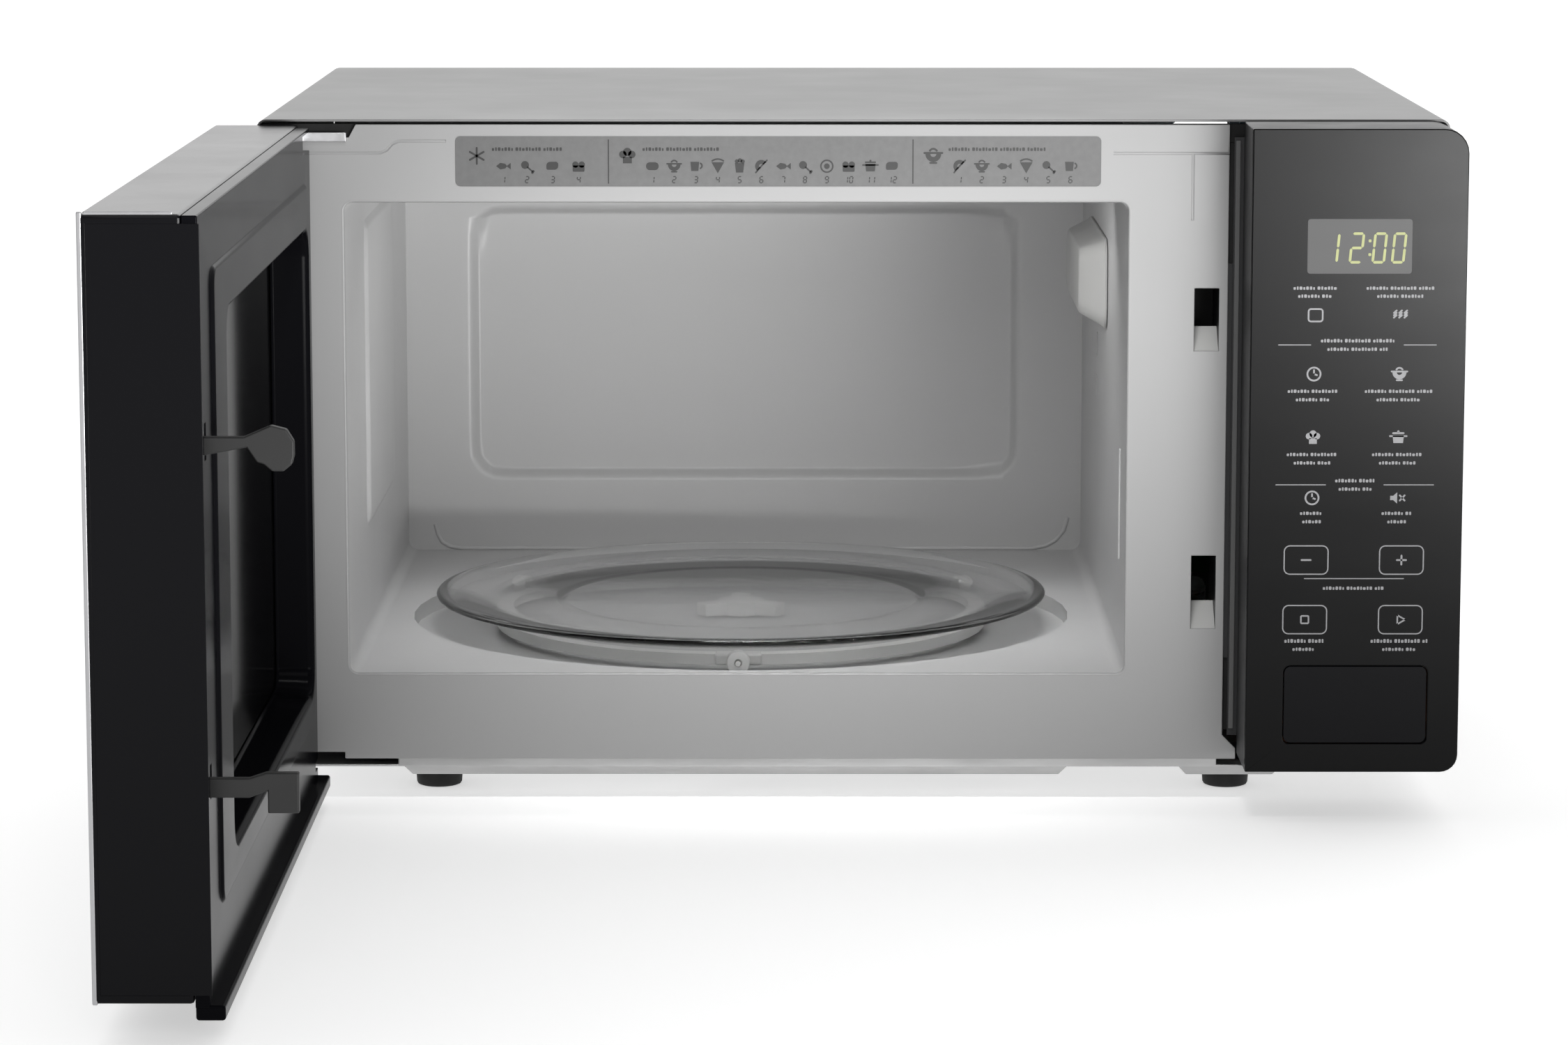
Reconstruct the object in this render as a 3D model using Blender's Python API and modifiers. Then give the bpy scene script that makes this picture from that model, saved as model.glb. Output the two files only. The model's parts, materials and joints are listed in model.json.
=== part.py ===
"""Countertop microwave oven, its door standing open at a right angle.

Body coordinates: X from the middle of the cabinet to the right, Y from the front plate to the back,
Z up from the feet. Every piece is placed in them, with the door as it is when shut, and hangs on an
empty whose origin is a joint's axis. The top empty moves the whole oven so that the middle of its
box, with the door open, is over the origin.
"""

import math

import bmesh
import bpy
from mathutils import Vector

# Cabinet
COVER_LEFT, COVER_RIGHT, COVER_TOP = -0.2565, 0.2545, 0.298
COVER_BACK, COVER_BOTTOM, SHEET = 0.356, 0.0168, 0.001
GAP = 0.0003
PLATE_LEFT, PLATE_RIGHT, PLATE_LOW, PLATE_TOP = -0.2552, 0.1602, 0.0193, 0.2958
PLATE_NOTCH_X, PLATE_NOTCH_Z = -0.214, 0.2903
PLATE_HEEL = (0.1660, 0.0240, 0.0300)
# Cooking cavity, inner faces
CAVITY_LEFT, CAVITY_RIGHT = -0.2196, 0.1174
CAVITY_FLOOR, CAVITY_TOP, CAVITY_BACK = 0.0570, 0.2626, 0.3455
MOUTH_LEFT, MOUTH_RIGHT, MOUTH_LOW, MOUTH_TOP = -0.220, 0.1178, 0.0566, 0.263
RECESS_LEFT, RECESS_RIGHT, RECESS_LOW, RECESS_TOP = -0.1885, 0.0865, 0.0930, 0.2303
RECESS_DEPTH = 0.006
# Turntable
TABLE_X, TABLE_Y = -0.051, 0.160
WELL_R, WELL_FLOOR = 0.152, 0.0496
WHEELS = ("front_wheel", "right_wheel", "left_wheel")
TRAY_R, TRAY_FLAT_R, TRAY_LOW, TRAY_RIM = 0.1415, 0.085, 0.0605, 0.0685
ROLLER_R, WHEEL_R, WHEEL_W = 0.121, 0.0052, 0.006
RING_OUTER, RING_INNER = 0.1135, 0.1065
# Door, as it is when shut
DOOR_LEFT, DOOR_RIGHT, DOOR_LOW, DOOR_TOP = -0.2565, 0.1647, 0.0154, 0.2957
DOOR_FRONT, DOOR_FRAME_BACK, DOOR_INNER = -0.0435, -0.0073, -0.0004
HINGE_X, HINGE_Y, PIN_R = -0.2443, -0.0134, 0.0025
DOOR_OPEN = math.radians(90)
DOOR_GLASS = (-0.2540, 0.1622, 0.0179, 0.2932)
RAIL_LOW, RAIL_BACK = 0.0093, 0.0036
WINDOW = (-0.219, 0.087, 0.057, 0.2525)
WINDOW_DEPTH = 0.016
HINGE_POCKET_R = 0.016
HINGE_ARM = (-0.252, -0.2366)
UPPER_ARM, LOWER_ARM = (0.2885, 0.2925), (0.0186, 0.0212)
UPPER_POCKET, LOWER_POCKET = (0.2858, 0.2937), (0.0179, 0.0222)
# Latches: the slots in the front plate, and the hooks that enter them
HOOK_X, HOOK_T, HOOK_REACH = 0.1512, 0.004, 0.0296
SLOT_W = 0.0106
UPPER_SLOT, LOWER_SLOT = (0.1983, 0.2254), (0.0770, 0.1090)
UPPER_HOOK, LOWER_HOOK = (0.2085, 0.2165), (0.0876, 0.0946)
LEVER_Y, LEVER_Z, LEVER_HUB_R = 0.008, 0.072, 0.004
# Control panel
PANEL_LEFT, PANEL_RIGHT, PANEL_LOW, PANEL_TOP = 0.1664, 0.2573, 0.0220, 0.2972
PANEL_FRONT, FASCIA_T, PANEL_WALL = -0.042, 0.0034, 0.0022
PANEL_CORNERS = (0.0006, 0.0075, 0.0105, 0.0006)
BUTTON = (0.1827, 0.2435, 0.0347, 0.0679)
STEM_END = -0.0239
DISPLAY = (0.1905, 0.2353, 0.2359, 0.2594)
# Base
FEET = {"front_left": (-0.1838, 0.041), "front_right": (0.1652, 0.041),
        "rear_left": (-0.1838, 0.322), "rear_right": (0.1652, 0.322)}
FOOT_R, FOOT_TOP = 0.0103, 0.0084
RIM_LOW, PAN_LOW = 0.0155, 0.0087
SPACER_H = 0.012
BACK_PANEL_Y = 0.3546
BUSH_X, BUSH_Z, BUSH_R = 0.216, 0.125, 0.0085
FAN_X, FAN_Z, FAN_VANES = 0.193, 0.237, 5

PIVOTS = {}
PARTS = bpy.data.collections.new("microwave_oven")
CUTTERS = bpy.data.collections.new("cutters")


def clear_scene():
    for obj in list(bpy.data.objects):
        bpy.data.objects.remove(obj, do_unlink=True)
    for collection in (PARTS, CUTTERS):
        bpy.context.scene.collection.children.link(collection)


def material(name, colour, roughness, metallic=0.0):
    made = bpy.data.materials.get(name) or bpy.data.materials.new(name)
    made.use_nodes = True
    shader = made.node_tree.nodes["Principled BSDF"]
    shader.inputs["Base Color"].default_value = (*colour, 1.0)
    shader.inputs["Roughness"].default_value = roughness
    shader.inputs["Metallic"].default_value = metallic
    return made


def silver_paint():
    return material("silver_paint", (0.46, 0.46, 0.46), 0.35, 0.3)


def cavity_enamel():
    return material("cavity_enamel", (0.52, 0.52, 0.52), 0.4)


def zinc_steel():
    return material("zinc_steel", (0.6, 0.6, 0.62), 0.35, 0.9)


def black_gloss():
    return material("black_gloss", (0.012, 0.012, 0.013), 0.12)


def black_plastic():
    return material("black_plastic", (0.02, 0.02, 0.021), 0.4)


def white_plastic():
    return material("white_plastic", (0.8, 0.8, 0.78), 0.45)


def clear_glass():
    return material("clear_glass", (0.85, 0.88, 0.88), 0.05)


def black_rubber():
    return material("black_rubber", (0.02, 0.02, 0.02), 0.8)


def copper_winding():
    return material("copper_winding", (0.55, 0.22, 0.09), 0.4, 0.8)


def circuit_green():
    return material("circuit_green", (0.03, 0.16, 0.07), 0.5)


def pivot(name, at, parent=None, angle=0.0):
    """An empty at a joint's axis. Pieces that hang on it are still given in body coordinates."""
    empty = bpy.data.objects.new(name, None)
    empty.empty_display_size = 0.02
    at = Vector(at)
    PIVOTS[name] = at
    PARTS.objects.link(empty)
    empty.parent = parent
    empty.location = at - PIVOTS[parent.name] if parent else at
    empty.rotation_euler = (0.0, 0.0, angle)
    return empty


def place(obj, parent, centre, look=None):
    """Puts a piece under its empty at a point in body coordinates. Without a look it is a cutter."""
    obj.parent = parent
    obj.location = Vector(centre) - PIVOTS[parent.name]
    if look is None:
        CUTTERS.objects.link(obj)
        obj.hide_render = True
        obj.display_type = "WIRE"
        return obj
    PARTS.objects.link(obj)
    obj.data.materials.clear()
    obj.data.materials.append(look)
    return obj


def mesh_object(name, shape):
    mesh = bpy.data.meshes.new(name)
    bmesh.ops.recalc_face_normals(shape, faces=shape.faces[:])
    shape.to_mesh(mesh)
    shape.free()
    return bpy.data.objects.new(name, mesh)


def round_edges(obj, width, segments=2, angle=50):
    bevel = obj.modifiers.new("rounded_edges", "BEVEL")
    bevel.width = width
    bevel.segments = segments
    bevel.limit_method = "ANGLE"
    bevel.angle_limit = math.radians(angle)
    return obj


def block(name, parent, low, high, look=None, edge=0.0, taper=0.0):
    """A box between two corners. taper pulls its lower face in on all four sides."""
    low, high = Vector(low), Vector(high)
    size = high - low
    shape = bmesh.new()
    bmesh.ops.create_cube(shape, size=1.0)
    for vertex in shape.verts:
        pull = taper if vertex.co.z < 0 else 0.0
        vertex.co.x *= size.x - 2 * pull
        vertex.co.y *= size.y - 2 * pull
        vertex.co.z *= size.z
    obj = place(mesh_object(name, shape), parent, (low + high) / 2, look)
    return round_edges(obj, edge) if edge else obj


def boxes(name, parent, corners):
    """One cutter made of separate boxes, each given by its low and high corner."""
    shape = bmesh.new()
    for low, high in corners:
        low, high = Vector(low), Vector(high)
        made = bmesh.ops.create_cube(shape, size=1.0)["verts"]
        for vertex in made:
            vertex.co = (low + high) / 2 + Vector(a * b for a, b in zip(vertex.co, high - low))
    obj = place(mesh_object(name, shape), parent, (0, 0, 0))
    return obj


TURNS = {"X": (0.0, math.pi / 2, 0.0), "Y": (math.pi / 2, 0.0, 0.0), "Z": (0.0, 0.0, 0.0)}


def rod(name, parent, centre, radius, length, axis, look=None, sides=24, top_radius=None):
    """A cylinder or cone about a point. top_radius is at its +X or +Z end, or its -Y end."""
    shape = bmesh.new()
    bmesh.ops.create_cone(shape, cap_ends=True, segments=sides, depth=length,
                          radius1=radius, radius2=radius if top_radius is None else top_radius)
    obj = place(mesh_object(name, shape), parent, centre, look)
    obj.rotation_euler = TURNS[axis]
    if look:
        obj.data.shade_smooth()
        obj.data.set_sharp_from_angle(angle=math.radians(40))
    return obj


def rounded(left, right, low, high, radii, steps=4):
    """Points round a rectangle, its corner radii given from the lower left, anticlockwise."""
    corners = ((left, low, 1, 1, 180), (right, low, -1, 1, 270),
               (right, high, -1, -1, 0), (left, high, 1, -1, 90))
    points = []
    for (x, y, sx, sy, start), radius in zip(corners, radii):
        if not radius:
            points.append((x, y))
            continue
        for step in range(steps + 1):
            angle = math.radians(start + 90 * step / steps)
            points.append((x + sx * radius + radius * math.cos(angle),
                           y + sy * radius + radius * math.sin(angle)))
    return points


def circle(x, y, radius, sides=24):
    return [(x + radius * math.cos(2 * math.pi * i / sides),
             y + radius * math.sin(2 * math.pi * i / sides)) for i in range(sides)]


def flat(name, parent, outlines, start, end, axis="Y", look=None):
    """A flat outline, with any holes, filled and given a thickness from start to end along axis."""
    curve = bpy.data.curves.new(name, "CURVE")
    curve.dimensions = "2D"
    curve.fill_mode = "BOTH"
    curve.extrude = abs(end - start) / 2
    for outline in outlines:
        spline = curve.splines.new("POLY")
        spline.points.add(len(outline) - 1)
        for point, (x, y) in zip(spline.points, outline):
            point.co = (x, y, 0.0, 1.0)
        spline.use_cyclic_u = True
    made = bpy.data.objects.new(name, curve)
    bpy.context.scene.collection.objects.link(made)
    bpy.context.view_layer.update()
    graph = bpy.context.evaluated_depsgraph_get()
    mesh = bpy.data.meshes.new_from_object(made.evaluated_get(graph))
    bpy.data.objects.remove(made)
    bpy.data.curves.remove(curve)
    shape = bmesh.new()
    shape.from_mesh(mesh)
    bmesh.ops.remove_doubles(shape, verts=shape.verts[:], dist=1e-6)
    bmesh.ops.recalc_face_normals(shape, faces=shape.faces[:])
    shape.to_mesh(mesh)
    shape.free()
    mesh.name = name
    middle = (start + end) / 2
    along = {"X": (middle, 0, 0), "Y": (0, middle, 0), "Z": (0, 0, middle)}[axis]
    obj = place(bpy.data.objects.new(name, mesh), parent, along, look)
    turn = {"X": (math.pi / 2, 0, math.pi / 2), "Y": (math.pi / 2, 0, 0), "Z": (0, 0, 0)}
    obj.rotation_euler = turn[axis]
    return obj


def turned(name, parent, centre, profile, look=None, sides=48):
    """A turned shape about a vertical axis. The profile runs down its outer side."""
    mesh = bpy.data.meshes.new(name)
    edges = [(i, i + 1) for i in range(len(profile) - 1)]
    mesh.from_pydata([(radius, 0.0, height) for radius, height in profile], edges, [])
    obj = place(bpy.data.objects.new(name, mesh), parent, centre, look)
    screw = obj.modifiers.new("turned", "SCREW")
    screw.axis = "Z"
    screw.steps = screw.render_steps = sides
    screw.use_merge_vertices = True
    screw.merge_threshold = 0.00001
    screw.use_smooth_shade = True
    return obj


def boolean(obj, other, operation):
    step = obj.modifiers.new(f"{operation.lower()}_{other.name}"[:60], "BOOLEAN")
    step.operation = operation
    step.object = other
    return obj


def cut(obj, *others):
    for other in others:
        boolean(obj, other, "DIFFERENCE")
    return obj


def join(obj, *others):
    for other in others:
        boolean(obj, other, "UNION")
    return obj


def coil(name, parent, centre, radius, wire, length, turns, axis, look):
    """A compression spring: a helix of round wire with closed ends."""
    curve = bpy.data.curves.new(name, "CURVE")
    curve.dimensions = "3D"
    curve.bevel_depth = wire / 2
    curve.bevel_resolution = 1
    curve.use_fill_caps = True
    steps = 10
    count = int(turns * steps) + 1
    spline = curve.splines.new("POLY")
    spline.points.add(count - 1)
    for i, point in enumerate(spline.points):
        angle = 2 * math.pi * i / steps
        height = (i / (count - 1) - 0.5) * (length - wire)
        point.co = (radius * math.cos(angle), radius * math.sin(angle), height, 1.0)
    obj = place(bpy.data.objects.new(name, curve), parent, centre, look)
    obj.rotation_euler = TURNS[axis]
    return obj


# Cabinet

def vent_slots(name, parent, wall, rows, along, across, pitch, start_z, axis):
    """Rows of slots through a wall. wall is its two faces, along the slots' ends and columns' step."""
    corners = []
    for first in across:
        for row in range(rows):
            low_z = start_z + row * pitch
            high_z = low_z + pitch * 0.45
            if axis == "X":
                corners.append(((wall[0], first, low_z), (wall[1], first + along, high_z)))
            else:
                corners.append(((first, wall[0], low_z), (first + along, wall[1], high_z)))
    return boxes(name, parent, corners)


def outer_cover(cabinet):
    """The wrap-round sheet: two sides and the top, bent at the upper corners."""
    radius = 0.004
    outer = rounded(COVER_LEFT, COVER_RIGHT, COVER_BOTTOM, COVER_TOP, (0, 0, radius, radius))
    inner = rounded(COVER_LEFT + SHEET, COVER_RIGHT - SHEET, COVER_BOTTOM, COVER_TOP - SHEET,
                    (0, 0, radius - SHEET, radius - SHEET))
    outline = outer[1:] + outer[:1] + inner[:1] + inner[:0:-1]
    cover = flat("outer_cover", cabinet, [outline], GAP, COVER_BACK, "Y", silver_paint())
    right = vent_slots("cover_right_vents", cabinet, (COVER_RIGHT - 0.004, COVER_RIGHT + 0.004),
                       8, 0.038, (0.215, 0.262), 0.0075, 0.17, "X")
    left = vent_slots("cover_left_vents", cabinet, (COVER_LEFT - 0.004, COVER_LEFT + 0.004),
                      6, 0.038, (0.285,), 0.0075, 0.225, "X")
    return cut(cover, right, left)


def front_plate(cabinet):
    """The pressed face of the cabinet, with the oven's mouth, the latch slots and the hinge notches."""
    notch_low = 0.0222
    heel_x, heel_low, heel_top = PLATE_HEEL
    outline = [(-0.222, PLATE_LOW), (heel_x, PLATE_LOW), (heel_x, heel_low),
               (PLATE_RIGHT, heel_top), (PLATE_RIGHT, PLATE_TOP),
               (PLATE_NOTCH_X, PLATE_TOP), (PLATE_NOTCH_X - 0.003, PLATE_NOTCH_Z),
               (PLATE_LEFT, PLATE_NOTCH_Z), (PLATE_LEFT, notch_low), (-0.222, notch_low)]
    mouth = rounded(MOUTH_LEFT, MOUTH_RIGHT, MOUTH_LOW, MOUTH_TOP, (0.004,) * 4)
    slots = [rounded(HOOK_X - SLOT_W / 2, HOOK_X + SLOT_W / 2, low, high, (0,) * 4)
             for low, high in (UPPER_SLOT, LOWER_SLOT)]
    return flat("front_plate", cabinet, [outline, mouth] + slots, 0, SHEET, "Y", cavity_enamel())


def cavity_shell(cabinet):
    """Floor, side walls and roof of the cavity, with the round well that the rollers run in."""
    look = cavity_enamel()
    inner = rounded(CAVITY_LEFT, CAVITY_RIGHT, CAVITY_FLOOR, CAVITY_TOP, (0.005,) * 4)
    outer = rounded(CAVITY_LEFT - SHEET, CAVITY_RIGHT + SHEET, CAVITY_FLOOR - SHEET,
                    CAVITY_TOP + SHEET, (0.006,) * 4)
    shell = flat("cavity_shell", cabinet, [outer, inner], SHEET + GAP, CAVITY_BACK - GAP, "Y", look)
    rise = CAVITY_FLOOR - WELL_FLOOR
    cup = rod("well_outside", cabinet, (TABLE_X, TABLE_Y, WELL_FLOOR + rise / 2 - SHEET * 0.75),
              WELL_R + SHEET, rise + SHEET / 2, "Z", sides=48)
    hollow = rod("well_inside", cabinet, (TABLE_X, TABLE_Y, WELL_FLOOR + rise / 2 + 0.001),
                 WELL_R, rise + 0.002, "Z", sides=48)
    shaft_hole = rod("shaft_hole", cabinet, (TABLE_X, TABLE_Y, WELL_FLOOR), 0.0055, 0.008, "Z")
    port = boxes("waveguide_port", cabinet,
                 [((CAVITY_RIGHT - 0.004, 0.17, 0.198), (CAVITY_RIGHT + 0.004, 0.262, 0.226))])
    return cut(join(shell, cup), hollow, shaft_hole, port)


def cavity_back(cabinet):
    """The cavity's rear wall, with a shallow rounded recess pressed into it."""
    front, back = CAVITY_BACK, CAVITY_BACK + SHEET
    edge = rounded(CAVITY_LEFT - SHEET, CAVITY_RIGHT + SHEET, CAVITY_FLOOR - SHEET,
                   CAVITY_TOP + SHEET, (0.006,) * 4)
    wall = flat("cavity_back", cabinet, [edge], front, back, "Y", cavity_enamel())

    def recess(grow):
        return rounded(RECESS_LEFT - grow, RECESS_RIGHT + grow, RECESS_LOW - grow,
                       RECESS_TOP + grow, (0.014 + grow,) * 4)

    tray = flat("recess_outside", cabinet, [recess(SHEET)], front + SHEET / 2,
                back + RECESS_DEPTH, "Y")
    hollow = flat("recess_inside", cabinet, [recess(0)], front - 0.002, front + RECESS_DEPTH, "Y")
    return cut(join(wall, tray), hollow)


def waveguide_cover(cabinet):
    """The light cover over the port that the microwaves come in by, proud of the right wall."""
    low = (CAVITY_RIGHT - 0.0124, 0.140, 0.1905)
    high = (CAVITY_RIGHT - GAP, 0.272, 0.233)
    return block("waveguide_cover", cabinet, low, high, white_plastic(), edge=0.004)


def base_pan(cabinet):
    """The floor of the cabinet: a flat rim with a deep pan and two foot pads pressed down."""
    rim = rounded(COVER_LEFT + 0.0013, COVER_RIGHT - 0.0013, 0.0015, 0.3542, (0.003,) * 4)
    pan = flat("base_pan", cabinet, [rim], RIM_LOW, RIM_LOW + SHEET, "Z", zinc_steel())
    presses = (("pan", (-0.200, 0.012), (0.096, 0.340), PAN_LOW),
               ("pan_middle", (-0.166, 0.020), (0.090, 0.296), PAN_LOW - 0.0013),
               ("front_pad", (0.140, 0.012), (0.190, 0.056), PAN_LOW),
               ("rear_pad", (0.140, 0.298), (0.190, 0.342), PAN_LOW))
    slope = 0.006
    upstand_top = 0.0235
    join(pan, boxes("front_upstand", cabinet,
                    [((-0.199, 0.0015, RIM_LOW), (0.158, 0.0025, upstand_top))]))
    for name, (x0, y0), (x1, y1), low in presses:
        join(pan, block(f"{name}_outside", cabinet, (x0, y0, low), (x1, y1, RIM_LOW + SHEET / 2),
                        taper=slope))
    for name, (x0, y0), (x1, y1), low in presses:
        cut(pan, block(f"{name}_inside", cabinet, (x0 + SHEET, y0 + SHEET, low + SHEET),
                       (x1 - SHEET, y1 - SHEET, RIM_LOW + SHEET + 0.002), taper=slope))
    return pan


def back_panel(cabinet):
    """The rear sheet, with the air outlet's slots and the hole for the cord's bush."""
    edge = rounded(COVER_LEFT + 0.0013, COVER_RIGHT - 0.0013, 0.0172, COVER_TOP - 0.0014,
                   (0.001, 0.001, 0.003, 0.003))
    bush_hole = circle(BUSH_X, BUSH_Z, BUSH_R + GAP)
    panel = flat("back_panel", cabinet, [edge, bush_hole], BACK_PANEL_Y, BACK_PANEL_Y + SHEET,
                 "Y", silver_paint())
    outlet = vent_slots("back_left_vents", cabinet, (BACK_PANEL_Y - 0.004, BACK_PANEL_Y + 0.004),
                        7, 0.03, (-0.215, -0.177), 0.0075, 0.2, "Y")
    intake = vent_slots("back_right_vents", cabinet, (BACK_PANEL_Y - 0.004, BACK_PANEL_Y + 0.004),
                        10, 0.04, (0.15, 0.197), 0.0085, 0.192, "Y")
    return cut(panel, outlet, intake)


def feet_and_spacers(cabinet):
    for name, (x, y) in FEET.items():
        profile = [(0, FOOT_TOP), (FOOT_R - 0.0004, FOOT_TOP), (FOOT_R, 0.006),
                   (FOOT_R - 0.0003, 0.0012), (FOOT_R - 0.0015, 0), (0, 0)]
        turned(f"foot_{name}", cabinet, (x, y, 0), profile, black_rubber(), sides=24)
    start = BACK_PANEL_Y + SHEET + GAP
    for side, x in (("left", -0.2), ("right", 0.2)):
        rod(f"rear_spacer_{side}", cabinet, (x, start + SPACER_H / 2, 0.272), 0.009, SPACER_H,
            "Y", black_plastic(), top_radius=0.011)
    bush = rod("cord_bush", cabinet, (BUSH_X, BACK_PANEL_Y + 0.001, BUSH_Z), BUSH_R, 0.012, "Y",
               black_plastic())
    cut(bush, rod("bush_bore", cabinet, (BUSH_X, BACK_PANEL_Y, BUSH_Z), 0.0042, 0.03, "Y"))


# Hinges and latches on the cabinet

def hinge_brackets(cabinet):
    """Two arms that reach forward from the cabinet and carry the door's pins."""
    look = zinc_steel()
    left, right = HINGE_ARM
    arm_front = HINGE_Y - 0.0074
    low, high = UPPER_ARM
    upper = block("upper_hinge", cabinet, (left, arm_front, low), (right, -GAP, high), look)
    flange = block("upper_flange", cabinet, (left, -0.0021, low), (-0.218, -GAP, high))
    pin = rod("upper_pin", cabinet, (HINGE_X, HINGE_Y, low - 0.0085), PIN_R, 0.019, "Z")
    join(upper, flange, pin)
    low, high = LOWER_ARM
    lower = block("lower_hinge", cabinet, (left, arm_front, low), (right, 0.026, high), look)
    upright = block("lower_upright", cabinet, (left, SHEET + GAP, low), (right, 0.003, 0.052))
    pin = rod("lower_pin", cabinet, (HINGE_X, HINGE_Y, high + 0.0077), PIN_R, 0.0176, "Z")
    join(lower, upright, pin)


def interlock(cabinet):
    """The plastic bracket behind the latch slots, and the three door switches on it."""
    low_x, high_x = 0.1395, 0.1652
    front, back = SHEET + GAP, 0.036
    bracket = block("interlock_bracket", cabinet, (low_x, front, 0.0768), (high_x, back, 0.236),
                    black_plastic())
    left, right = HOOK_X - SLOT_W / 2 - 0.0001, HOOK_X + SLOT_W / 2 + 0.0001
    ear = block("lever_ear", cabinet, (0.1585, front, 0.064), (high_x, 0.016, 0.078))
    pockets = boxes("hook_pockets", cabinet,
                    [((left, 0, UPPER_SLOT[0]), (right, 0.033, UPPER_SLOT[1] + 0.0006)),
                     ((left, 0, 0.070), (right, 0.04, LOWER_SLOT[1] + 0.0006))])
    middle = boxes("bracket_middle", cabinet, [((0.136, 0.006, 0.118), (0.1612, 0.04, 0.186))])
    bearing = rod("lever_bearing", cabinet, (0.162, LEVER_Y, LEVER_Z), LEVER_HUB_R + GAP, 0.012,
                  "X")
    cut(join(bracket, ear), pockets, middle, bearing)
    heights = {"primary": 0.2, "monitor": 0.15, "secondary": 0.088}
    for name, z in heights.items():
        switch = block(f"{name}_switch", cabinet, (0.1655, 0.008, z), (0.1755, 0.03, z + 0.016),
                       black_plastic())
        tabs = boxes(f"{name}_tabs", cabinet,
                     [((0.1702, 0.029, z + step), (0.171, 0.036, z + step + 0.004))
                      for step in (0.002, 0.010)])
        join(switch, tabs)


# Inside the cabinet, right of the cavity

def waveguide_and_magnetron(cabinet):
    steel = zinc_steel()
    wall = CAVITY_RIGHT + SHEET + GAP
    guide = block("waveguide", cabinet, (wall, 0.150, 0.158), (wall + 0.033, 0.300, 0.240), steel)
    inside = boxes("waveguide_inside", cabinet,
                   [((wall - 0.002, 0.151, 0.159), (wall + 0.032, 0.299, 0.239))])
    antenna_x, antenna_y = wall + 0.0165, 0.268
    hole = rod("antenna_hole", cabinet, (antenna_x, antenna_y, 0.158), 0.0095, 0.01, "Z")
    cut(guide, inside, hole)
    yoke = block("magnetron", cabinet, (0.1215, 0.226, 0.082), (0.2015, 0.306, 0.146), steel)
    slots = boxes("magnetron_air_gaps", cabinet,
                  [((0.128, 0.220, z), (0.195, 0.312, z + 0.0042))
                   for z in (0.090 + 0.0085 * i for i in range(6))])
    anode = rod("magnetron_anode", cabinet, (0.1615, 0.266, 0.114), 0.02, 0.06, "Z")
    antenna = rod("antenna", cabinet, (antenna_x, antenna_y, 0.1575), 0.0078, 0.026, "Z")
    join(cut(yoke, slots), anode, antenna)
    rod("thermal_cutout", cabinet, (0.2045, 0.266, 0.139), 0.008, 0.005, "X", black_plastic())


def high_voltage(cabinet):
    """Transformer, capacitor, diode and mains filter."""
    floor = RIM_LOW + SHEET + GAP
    core = block("hv_transformer", cabinet, (0.176, 0.075, floor), (0.248, 0.130, 0.082),
                 zinc_steel(), edge=0.001)
    join(core, block("primary_winding", cabinet, (0.186, 0.060, 0.030), (0.238, 0.145, 0.048)),
         block("secondary_winding", cabinet, (0.186, 0.058, 0.0515), (0.238, 0.147, 0.069)))
    can = rounded(0.135, 0.167, 0.164, 0.216, (0.0155,) * 4)
    flat("hv_capacitor", cabinet, [can], floor, 0.066, "Z",
         material("can", (0.6, 0.6, 0.6), 0.3, 0.9))
    rod("hv_diode", cabinet, (0.151, 0.190, 0.0705), 0.0035, 0.018, "Y", black_plastic(), sides=12)
    board = block("mains_filter", cabinet, (0.150, 0.3445, 0.046), (0.246, 0.346, 0.102),
                  circuit_green())
    join(board, rod("filter_choke", cabinet, (0.178, 0.336, 0.074), 0.013, 0.018, "Y"),
         block("filter_fuse", cabinet, (0.205, 0.334, 0.086), (0.235, 0.345, 0.094)),
         block("filter_capacitor", cabinet, (0.205, 0.328, 0.054), (0.225, 0.345, 0.078)))


def cooling_fan(cabinet, fan):
    shroud = [rounded(0.1365, 0.250, 0.182, 0.2925, (0.003,) * 4), circle(FAN_X, FAN_Z, 0.047, 32)]
    flat("fan_shroud", cabinet, shroud, 0.340, 0.3425, "Y", white_plastic())
    motor = block("fan_motor", cabinet, (FAN_X - 0.02, 0.296, FAN_Z - 0.024),
                  (FAN_X + 0.02, 0.314, FAN_Z + 0.024), zinc_steel(), edge=0.001)
    join(motor, rod("fan_motor_boss", cabinet, (FAN_X, 0.305, FAN_Z), 0.013, 0.024, "Y"))
    blade = rod("fan_blade", fan, (FAN_X, 0.336, FAN_Z), 0.011, 0.014, "Y",
                material("fan_blue", (0.35, 0.5, 0.6), 0.5))
    shaft = rod("fan_shaft", fan, (FAN_X, 0.324, FAN_Z), 0.002, 0.0126, "Y", sides=12)
    join(blade, shaft)
    for i in range(FAN_VANES):
        vane = boxes(f"fan_vane_{i}", fan, [((0.008, -0.0008, -0.012), (0.0435, 0.0008, 0.012))])
        vane.location = (0.0, 0.0, 0.0)
        vane.rotation_mode = "YXZ"
        vane.rotation_euler = (math.radians(18), 2 * math.pi * i / FAN_VANES, 0.0)
        join(blade, vane)


def lamp_and_duct(cabinet):
    lamp = rod("cavity_lamp", cabinet, (0.1325, 0.112, 0.236), 0.009, 0.026, "X", clear_glass(),
               top_radius=0.012)
    join(lamp, rod("lamp_socket", cabinet, (0.152, 0.112, 0.236), 0.0125, 0.016, "X"))
    duct = block("air_duct", cabinet, (0.2075, 0.222, 0.082), (0.2475, 0.3385, 0.170),
                 white_plastic())
    cut(duct, boxes("duct_inside", cabinet, [((0.200, 0.2235, 0.0835), (0.246, 0.35, 0.1685))]))


# Turntable

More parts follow.
